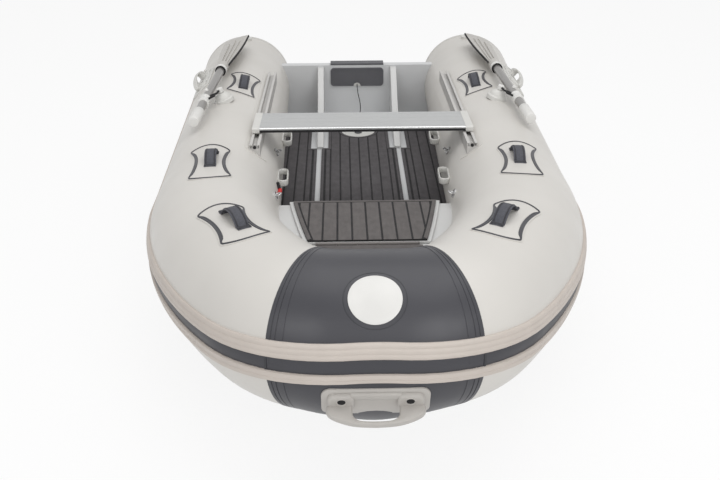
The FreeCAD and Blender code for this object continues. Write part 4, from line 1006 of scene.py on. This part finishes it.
def make_floor_mats():
    outline = centre_outline()
    base = Shape().prism([lay_on_deck(x, y, 0.0) for x, y in outline], Vector((0, 0, -MAT_DEPTH)))
    base.build("centre_base", "deck_foam", "floor_mat_centre", look=BLACK)
    end = LOCKER_REAR - MAT_MARGIN
    centre = Shape()
    border(centre, outline, lay_on_deck)
    planks(centre, plank_edges(CENTRE_MAT_HALF - MAT_BORDER, PLANK_PITCH, PLANK_LINES),
           lambda x: end - MAT_BORDER, centre_rear, lay_on_deck)
    centre.build("centre_planks", "deck_foam", sharp=25.0)
    sides = Shape()
    border(sides, [(SIDE_MAT_INNER, end), (SIDE_MAT_OUTER, end), (SIDE_MAT_OUTER, SIDE_MAT_REAR),
                   (KNEE_SIDE, SIDE_MAT_REAR), (KNEE_SIDE, KNEE_FRONT),
                   (SIDE_MAT_INNER, KNEE_FRONT)], lay_on_deck)
    planks(sides, [SIDE_MAT_INNER + MAT_BORDER] + SIDE_LINES + [SIDE_MAT_OUTER - MAT_BORDER],
           lambda x: end - MAT_BORDER, side_rear, lay_on_deck)
    sides.mirror().build("side_planks", "deck_foam", sharp=25.0)


def make_knees():
    """Transom knees, nearer the middle than in the frame, as the photograph shows them."""
    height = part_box("transom_knees")[1][2]
    upper = Vector((KNEE_TOP_DEPTH, height))
    lower = Vector((KNEE_LENGTH, DECK_HEIGHT + KNEE_FOOT))
    slope = (lower - upper).normalized()
    outline = [(0.0, DECK_HEIGHT), (0.0, height)]
    for share in spread(0.0, 1.0, 17):
        sag = KNEE_SAG * 4 * share * (1 - share)
        outline.append(upper.lerp(lower, share) + Vector((slope.y, -slope.x)) * sag)
    outline.append((KNEE_LENGTH, DECK_HEIGHT))
    shape = Shape().prism([Vector((KNEE_PLACE, fore(forward), z)) for forward, z in outline],
                          Vector((KNEE_THICKNESS, 0, 0)))
    shape.mirror().build("knee_plates", "deck_white", "transom_knees", bevel=0.002)


def lid_half(forward):
    share = (forward - LOCKER_REAR) / LID_LENGTH
    bulge = LID_BULGE * 4 * share * (1 - share)
    return LID_REAR_HALF + (LID_FRONT_HALF - LID_REAR_HALF) * share + bulge


def lid_outline(inset, rear, front):
    """Outline of the lid's plate or mat from its rear round the front, with bulging sides."""
    right = [(lid_half(forward) - inset, forward) for forward in spread(rear, front, 9)]
    return right + [(-x, forward) for x, forward in reversed(right)]


def make_lid_mat():
    rear = LID_REAR + LID_MAT_MARGIN
    front = LID_FRONT - LID_FRONT_MARGIN
    top = LID_REST + LID_THICKNESS + MAT_THICKNESS - MAT_OVERLAP

    def lay(x, forward, lift):
        return lay_on_locker(x, forward, top + lift)
    outline = lid_outline(LID_MAT_MARGIN, rear, front)
    base = Shape().prism([lay(x, forward, 0.0) for x, forward in outline],
                         lay(0, rear, -MAT_DEPTH) - lay(0, rear, 0.0))
    base.build("lid_mat_base", "deck_foam", "lid_mat", "lid", BLACK)
    shape = Shape()
    half = len(outline) // 2
    border(shape, outline[:half][::-1] + outline[half:][::-1], lay, False)
    low = rear + MAT_BORDER
    edge = LID_MAT_MARGIN + MAT_BORDER

    def limit(x):
        """Furthest place where the slanted side leaves this x to the planks."""
        if lid_half(front) - edge >= abs(x):
            return front
        return halved(low, front, lambda forward: lid_half(forward) - edge > abs(x))
    widest = lid_half(low) - edge - 0.002
    planks(shape, plank_edges(widest, LID_PITCH, LID_LINES), limit, lambda x, right: low, lay)
    shape.build("lid_planks", "deck_foam", body="lid", look=LID_FOAM, sharp=25.0)


def make_lid_plate():
    """The lid's plate with a rounded edge, and its two knuckles round the hinge's pin."""
    outline = lid_outline(0.0, LID_REAR, LID_FRONT)
    lid = Shape().loft(layers(lambda inset: inset_outline(outline, inset),
                              lambda x, y, lift: lay_on_locker(x, y, LID_REST + lift),
                              ((0.002, 0.0), (0.0, 0.0012), (-0.0006, 0.0030), (0.0004, 0.0074),
                               (0.002, 0.0080), (0.012, 0.0080))))
    lid.build("lid_plate", "deck_white", "locker_lid", "lid", sharp=50.0)
    hinge = LOCKER_REAR + LID_LENGTH
    middle = LID_REST + HINGE_RADIUS
    edges = spread(-HINGE_HALF, HINGE_HALF, 6)
    knuckles = Shape()
    for index in (1, 3):
        start = edges[index] + HINGE_END_GAP / 2
        end = edges[index + 1] - HINGE_END_GAP / 2
        knuckles.loft(rings(lambda a, b, x: lay_on_locker(x, hinge + a, middle + b),
                            ((HINGE_BORE, start), (HINGE_RADIUS, start), (HINGE_RADIUS, end),
                             (HINGE_BORE, end))), close=True)
        knuckles.prism([lay_on_locker(start, hinge - back, LID_REST + lift)
                        for back, lift in HINGE_WEB], Vector((end - start, 0, 0)))
    knuckles.build("lid_knuckles", "steel", body="lid", look=HINGE_GREY, sharp=40.0)


# Loops and the clip

def stadium(length, width, count=16):
    """Points of an oval with straight sides: (along, across)."""
    reach = (length - width) / 2
    points = [(reach + width / 2 * cosine(a), width / 2 * sine(a)) for a in spread(-90, 90, count)]
    return points + [(-x, -y) for x, y in points]


def make_loops():
    shape = Shape()
    for place, degrees in LOOP_PLACES:
        station = PATH.at(PATH.length_of(place))
        centre = station.skin(0.0, degrees) - station.outward * (LOOP_WIDTH / 2 - 0.004)
        rows = []
        for a, b in circle(12):
            wall = LOOP_WALL * (math.copysign(abs(a) ** 0.7, a) - 1)
            high = LOOP_HEIGHT / 2 * math.copysign(abs(b) ** 0.7, b)
            rows.append([centre + station.along * x + station.outward * y + station.up * high
                         for x, y in stadium(LOOP_LENGTH + wall, LOOP_WIDTH + wall)])
        shape.loft(rows, close=True)
    shape.mirror().build("oval_loops", "moulding", "strap_loops", sharp=70.0)


def make_clip():
    """Red clip with a black buckle on the starboard tube's inner flank."""
    length = PATH.length_of(CLIP_PLACE)
    for name, look, slot, start, end, radius in (
            ("red_clip", RED, "moulding", 0.0, 0.036, 0.0075),
            ("clip_buckle", BLACK, "pad", 0.030, 0.052, 0.0060)):
        first = PATH.at(length + start).skin(radius * 0.8, CLIP_ANGLE)
        last = PATH.at(length + end).skin(radius * 0.8, CLIP_ANGLE - start * CLIP_TURN)
        reach = (last - first).length
        shape = Shape().lathe(first, last - first, [
            (0.0, 0.002), (0.0, radius * 0.7), (0.002, radius), (reach - 0.002, radius),
            (reach, radius * 0.7), (reach, 0.002)], 20)
        shape.flip().build(name, slot, look=look)


# Moulded handles

def smooth_line(points, count):
    """Points on a smooth curve through a few chosen ones."""
    line = []
    for index in range(len(points) - 1):
        near = [points[max(0, index - 1)], points[index], points[index + 1],
                points[min(len(points) - 1, index + 2)]]
        for t in spread(0.0, 1.0, count + 1)[:-1]:
            blend = [(-t + 2 * t * t - t ** 3) / 2, (2 - 5 * t * t + 3 * t ** 3) / 2,
                     (t + 4 * t * t - 3 * t ** 3) / 2, (t ** 3 - t * t) / 2]
            line.append(tuple(sum(part * value for part, value in zip(blend, values))
                              for values in zip(*near)))
    return line + [tuple(points[-1])]


def rounded_plate(length, width, corner, count=7):
    """Outline of a plate with round corners: (along, across)."""
    points = []
    for sx, sy, start in ((1, 1, 0), (-1, 1, 90), (-1, -1, 180), (1, -1, 270)):
        for degrees in spread(start, start + 90, count):
            points.append((sx * (length / 2 - corner) + corner * cosine(degrees),
                           sy * (width / 2 - corner) + corner * sine(degrees)))
    return points


def plate(shape, lay, centre, size, corners, edge):
    """Plate with corners of a radius and its least one; edge is (inset, lift) from the foot up."""
    shape.loft(layers(lambda inset: rounded_plate(size[0] - 2 * inset, size[1] - 2 * inset,
                                                  max(corners[1], corners[0] - inset)),
                      lambda a, b, lift: lay(centre[0] + a, centre[1] + b, lift), edge))


def grab_handle(shape, hole_shade, seat, follow, reach):
    """Base plate, pads with two eye holes, black discs in them as painted shade, and a broad grip;
    follow lays points on the tube.
    """
    plate(shape, follow, (0, (HANDLE_TOP + HANDLE_BOTTOM) / 2),
          (HANDLE_LENGTH, HANDLE_TOP - HANDLE_BOTTOM), (HANDLE_CORNER, 0.006),
          ((0.0, -0.002), (-0.0004, 0.003), (0.0006, 0.005), (0.003, HANDLE_BASE),
           (0.030, HANDLE_BASE)))
    for side in (-1, 1):
        plate(shape, seat.at, (side * PAD_PLACE, -0.008), (0.066, 0.056), (0.018, 0.004),
              ((0.0, 0.004), (0.0005, 0.011), (0.003, 0.0145), (0.008, 0.0155), (0.015, 0.0155)))
        shape.loft(rings(lambda a, b, lift: seat.at(side * EYE_PLACE + a, b, lift),
                         ((0.0140, 0.0150), (0.0132, 0.0172), (0.0116, 0.0176),
                          (0.0100, 0.0160))), close=True)
        # Black disc filling each eye hole: painted shade inside the hole
        hole_shade.lathe(seat.at(side * EYE_PLACE, 0, 0.012), seat.normal,
                   [(0.0, 0.0106), (0.0042, 0.0106)], 24)
    plate(shape, seat.at, (0, 0.010), (0.132, 0.024), (0.010, 0.001),
          ((0.0, 0.004), (0.0008, 0.008), (0.004, 0.0105), (0.009, 0.0105)))
    lines = []
    for half in (GRIP_OUTER, GRIP_INNER):
        lines.append(smooth_line([(-x, y * reach) for x, y in half]
                                 + [(x, y * reach) for x, y in reversed(half[:-1])], 5))
    rows = []
    for one, two in zip(*lines):
        centre = Vector(one).lerp(Vector(two), 0.5)
        half = Vector(one) - centre
        step = half.normalized()
        section = rounded_plate(2 * half.length, GRIP_THICKNESS, min(0.0052, half.length * 0.9), 4)
        rows.append([seat.at(centre.x + step.x * a, GRIP_LEVEL + b, centre.y + step.y * a)
                     for a, b in section])
    shape.loft(rows)


def wrapped(a, b, lift):
    """Point of the bow's skin at this x, for the base's even width."""
    angle = BOW_HANDLE_ANGLE + math.degrees(b / TUBE_RADIUS)
    length = halved(0.0, 0.5, lambda length: PATH.at(length).skin(0.0, angle).x < abs(a))
    return PATH.at(math.copysign(length, a)).skin(bow_lift(length, angle) + lift, angle)


def make_grab_handles():
    bow = Shape()
    bow_hole_shade = Shape()
    grab_handle(bow, bow_hole_shade, Seat(0.0, BOW_HANDLE_ANGLE, 0.0), wrapped, 1.0)
    # Black discs in the bow handle's eye holes: painted shade
    bow_hole_shade.build("bow_grip_eyes", "pad", look=BLACK)
    # The bow's handle takes the darker copy of the moulding as painted shade; the side grips keep the
    # moulding
    bow.build("bow_grip", "moulding", "bow_handle", look=HANDLE_PAINTED_SHADE, sharp=50.0)
    side = Shape()
    side_hole_shade = Shape()
    length = PATH.length_of(SIDE_HANDLE_PLACE)
    grab_handle(side, side_hole_shade, Seat(length, SIDE_HANDLE_ANGLE, 0.0),
                Spot(length, SIDE_HANDLE_ANGLE).at, SIDE_GRIP_SHARE)
    # Black discs in the side grips' eye holes: painted shade
    side_hole_shade.mirror().build("side_grip_eyes", "pad", look=BLACK)
    side.mirror().build("side_grips", "moulding", "side_handles", sharp=50.0)


def make_disc():
    spot = Spot(0.0, DISC_ANGLE)
    steps = [(DISC_RADIUS, SINK), (DISC_RADIUS, 0.0016), (DISC_RADIUS - 0.0015, DISC_LIFT)]
    steps += [(radius, DISC_LIFT) for radius in (0.052, 0.036, 0.018, 0.004)]
    disc = Shape().loft(rings(spot.at, steps, 72))
    disc.build("bow_disc_cloth", "tube", "bow_disc", look=WHITE_PLASTIC)
    steps = [(DISC_SEAM - 0.0012, -0.0005), (DISC_SEAM - 0.0008, 0.0006),
             (DISC_SEAM + 0.0008, 0.0006), (DISC_SEAM + 0.0012, -0.0005)]
    seam = Shape().loft(rings(spot.at, steps, 72), close=True)
    seam.build("disc_seam", "tube_dark", look=DARK_SEAM)


# Oars

def twin(shape, name, look, slot, replaced=None, sharp=35.0):
    """The same piece on the port and the starboard oar."""
    for side, form in (("port", shape), ("starboard", shape.flip())):
        form.build(name + "_" + side, slot, replaced and replaced + "_" + side, "oar_" + side, look,
                   sharp)


def make_oars():
    """Fittings of both oars, placed by the line of the port oar as it is stowed."""
    oar = Seat(PATH.length_of(ROWLOCK_PLACE), OAR_ANGLE, OAR_AXIS_OFFSET,
               Vector((-sine(OAR_TOE), cosine(OAR_TOE), -sine(OAR_RISE))))
    r = GRIP_RADIUS
    end = GRIP_CAP + GRIP_LENGTH
    grip = Shape().lathe(oar.at(-SHAFT_FORE - GRIP_CAP), oar.along, [
        (0.0, 0.003), (0.0, r - 0.006), (0.0015, r - 0.002), (0.005, r), (0.030, r),
        (0.034, r - 0.001), (0.038, r), (end - 0.005, r), (end - 0.001, r - 0.0022),
        (end, SHAFT_BORE)])
    twin(grip, "grip_sleeve", WHITE_PLASTIC, "moulding", "oar_grip")
    half = COLLAR_LENGTH / 2
    r = COLLAR_RADIUS
    rear = [(-half, SHAFT_BORE), (-half, r - 0.002), (0.002 - half, r + 0.001),
            (0.012 - half, r + 0.001), (0.014 - half, r - 0.001)]
    sleeve = Shape().lathe(oar.at(-COLLAR_FORWARD), oar.along,
                           rear + [(-along, radius) for along, radius in reversed(rear)])
    sleeve.lathe(oar.at(0, ROWLOCK_INSET), oar.normal, [
        (-0.026, 0.003), (-0.026, PIN_RADIUS), (-PIN_HEAD_HALF, PIN_RADIUS),
        (-PIN_HEAD_HALF, 0.0115), (-PIN_HEAD_HALF + 0.002, 0.013), (0.008, 0.013), (0.011, 0.010),
        (0.0115, 0.002)])
    twin(sleeve, "collar_sleeve", WHITE_PLASTIC, "moulding", "oar_collar")
    steps = smooth_line([(-COLLAR_FORWARD + 0.004, 0.018, 0.004), (-0.078, 0.036, 0.006),
                         (-0.064, 0.040, 0.004), (-0.058, 0.024, 0.003), (-0.044, 0.022, 0.003),
                         (-0.036, 0.044, 0.003), (-0.018, 0.046, 0.003),
                         (-0.006, ROWLOCK_INSET, 0.002)], 6)

    def link_side(index):
        tangent = oar.at(*steps[min(len(steps) - 1, index + 1)]) - oar.at(*steps[max(0, index - 1)])
        return tangent.cross(oar.normal).normalized()
    twin(oar.bar(steps, link_side, LINK_RADIUS, LINK_RADIUS, 12), "collar_link", BLACK, "pad",
         sharp=80.0)
    button = Shape().lathe(oar.at(0), oar.normal, [
        (0.008, 0.002), (0.008, 0.0075), (0.018, 0.0085), (0.0225, 0.0068), (0.0245, 0.0035),
        (0.0249, 0.0006)], 28)
    twin(button, "shaft_button", WHITE_PLASTIC, "moulding")
    socket = Shape().lathe(oar.at(SHAFT_AFT), oar.along, [
        (-0.035, SHAFT_BORE), (-0.035, 0.0215), (-0.031, 0.0240), (-0.015, 0.0242),
        (-0.012, 0.0228)])
    twin(socket, "blade_ring", WHITE_PLASTIC, "moulding")
    seal = Shape().lathe(oar.at(SHAFT_AFT), oar.along, [
        (-0.039, SHAFT_BORE), (-0.039, 0.0225), (-0.0352, 0.0225)])
    twin(seal, "blade_seal", BLACK, "pad")
    places = [(0.020, 0.0275), (0.080, 0.0345), (BLADE_LENGTH * 0.3, 0.0428),
              (BLADE_LENGTH * 0.45, 0.0498), (BLADE_LENGTH * 0.62, 0.0552),
              (BLADE_LENGTH * 0.8, 0.0572), (BLADE_LENGTH - 0.026, 0.0572)]
    line = smooth_line([(SHAFT_AFT + along, inboard) for along, inboard in places], 6)
    twin(oar.bar(line, lambda index: oar.across, 0.0026, 0.0048, 10), "blade_edge", BLACK, "pad",
         sharp=80.0)
    base = -OAR_AXIS_OFFSET
    top = -PIN_HEAD_HALF - 0.001
    rowlock = Shape().lathe(oar.at(0, ROWLOCK_INSET), oar.normal, [
        (base - 0.012, 0.02), (base - 0.012, ROWLOCK_BASE_RADIUS), (base + 0.002, ROWLOCK_BASE_RADIUS),
        (base + 0.005, ROWLOCK_BASE_RADIUS - 0.003), (base + 0.0065, ROWLOCK_RADIUS + 0.009),
        (base + 0.013, ROWLOCK_RADIUS + 0.007), (base + 0.019, ROWLOCK_RADIUS + 0.003),
        (top - 0.004, ROWLOCK_RADIUS - 0.004), (top, ROWLOCK_RADIUS - 0.010),
        (top, PIN_RADIUS + 0.0015), (top - 0.002, PIN_RADIUS + 0.0004),
        (top - 0.018, PIN_RADIUS + 0.0004), (top - 0.018, 0.001)], 48)
    rowlock.mirror().build("rowlock_sockets", "moulding", "rowlock_bases")


def make_lanyard():
    """Thin cord from the eye on the transom's pad to the drain plug."""
    curve = bpy.data.curves.new("plug_cord", "CURVE")
    curve.dimensions = "3D"
    curve.bevel_depth = LANYARD_RADIUS
    curve.bevel_resolution = 3
    curve.resolution_u = 10
    spline = curve.splines.new("NURBS")
    spline.points.add(len(LANYARD_ROUTE) - 1)
    for point, (x, place, height) in zip(spline.points, LANYARD_ROUTE):
        point.co = (x, fore(place), DECK_HEIGHT + height, 1.0)
    spline.order_u = 3
    spline.use_endpoint_u = True
    curve.materials.append(LOOKS["cord"])
    cord = bpy.data.objects.new("plug_cord", curve)
    scene.collection.objects.link(cord)
    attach(cord, "boat")
    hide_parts("drain_lanyard")
    x, place, height = LANYARD_ROUTE[0]
    fore(place)


# Camera, light and background

def make_camera():
    data = bpy.data.cameras.new("camera")
    data.lens = CAMERA_LENS
    data.sensor_width = 36.0
    data.sensor_fit = "HORIZONTAL"
    camera = bpy.data.objects.new("camera", data)
    scene.collection.objects.link(camera)
    place = Matrix.Translation((CAMERA_X, fore(CAMERA_FORWARD), DECK_HEIGHT + CAMERA_ABOVE_DECK))
    yaw = Matrix.Rotation(-CAMERA_YAW, 4, "Z")
    pitch = Matrix.Rotation(math.pi / 2 - CAMERA_PITCH, 4, "X")
    camera.matrix_world = place @ yaw @ pitch @ Matrix.Rotation(CAMERA_ROLL, 4, "Z")
    scene.camera = camera


def make_lights():
    for name, (place, target, size, power) in LIGHTS.items():
        data = bpy.data.lights.new(name, "AREA")
        data.shape = "RECTANGLE"
        data.size = size[0]
        data.size_y = size[1]
        data.energy = power
        light = bpy.data.objects.new(name, data)
        scene.collection.objects.link(light)
        light.location = place
        light.rotation_euler = (Vector(target) - Vector(place)).to_track_quat("-Z", "Y").to_euler()


def seen_white(tree, shader, output, white, share):
    """What the camera, metal and glass see directly is white by this share."""
    path = tree.nodes.new("ShaderNodeLightPath").outputs
    seen = path["Is Camera Ray"]
    for ray in ("Is Glossy Ray", "Is Transmission Ray"):
        seen = add_node(tree, "Math", "Value", {0: seen, 1: path[ray]}, {})
        seen.node.operation = "MAXIMUM"
    part = add_node(tree, "Math", "Value", {0: seen}, {1: share})
    part.node.operation = "MULTIPLY"
    mixed = add_node(tree, "MixShader", "Shader", {"Fac": part, 1: shader, 2: white}, {})
    tree.links.new(mixed, output)


def make_studio():
    world = bpy.data.worlds.new("studio")
    scene.world = world
    world.use_nodes = True
    tree = world.node_tree
    light = tree.nodes["Background"]
    light.inputs["Color"].default_value = (1, 1, 1, 1)
    light.inputs["Strength"].default_value = SKY_LIGHT
    white = add_node(tree, "Background", "Background", {}, {"Strength": 1.0})
    seen_white(tree, light.outputs["Background"], tree.nodes["World Output"].inputs["Surface"],
               white, 1.0)
    bpy.ops.mesh.primitive_plane_add(size=60.0, location=(0, 0, cad_box[0][2]))
    floor = bpy.context.object
    floor.name = "floor"
    look = bpy.data.materials.new("floor_white")
    look.use_nodes = True
    tree = look.node_tree
    shader = tree.nodes["Principled BSDF"]
    shader.inputs["Base Color"].default_value = (FLOOR_WHITE, FLOOR_WHITE, FLOOR_WHITE, 1)
    shader.inputs["Roughness"].default_value = 0.9
    glow = add_node(tree, "Emission", "Emission", {}, {"Strength": 1.0})
    seen_white(tree, shader.outputs["BSDF"], tree.nodes["Material Output"].inputs["Surface"], glow,
               FLOOR_WHITE)
    floor.data.materials.append(look)


scene.view_settings.view_transform = "Standard"
make_camera()
dress_nodes()
make_lanyard()
make_tubes()
make_tails()
make_strakes()
make_patches()
make_straps()
make_bench()
make_floor_mats()
make_knees()
make_lid_mat()
make_lid_plate()
make_loops()
make_clip()
make_grab_handles()
make_disc()
make_oars()
make_studio()
make_lights()
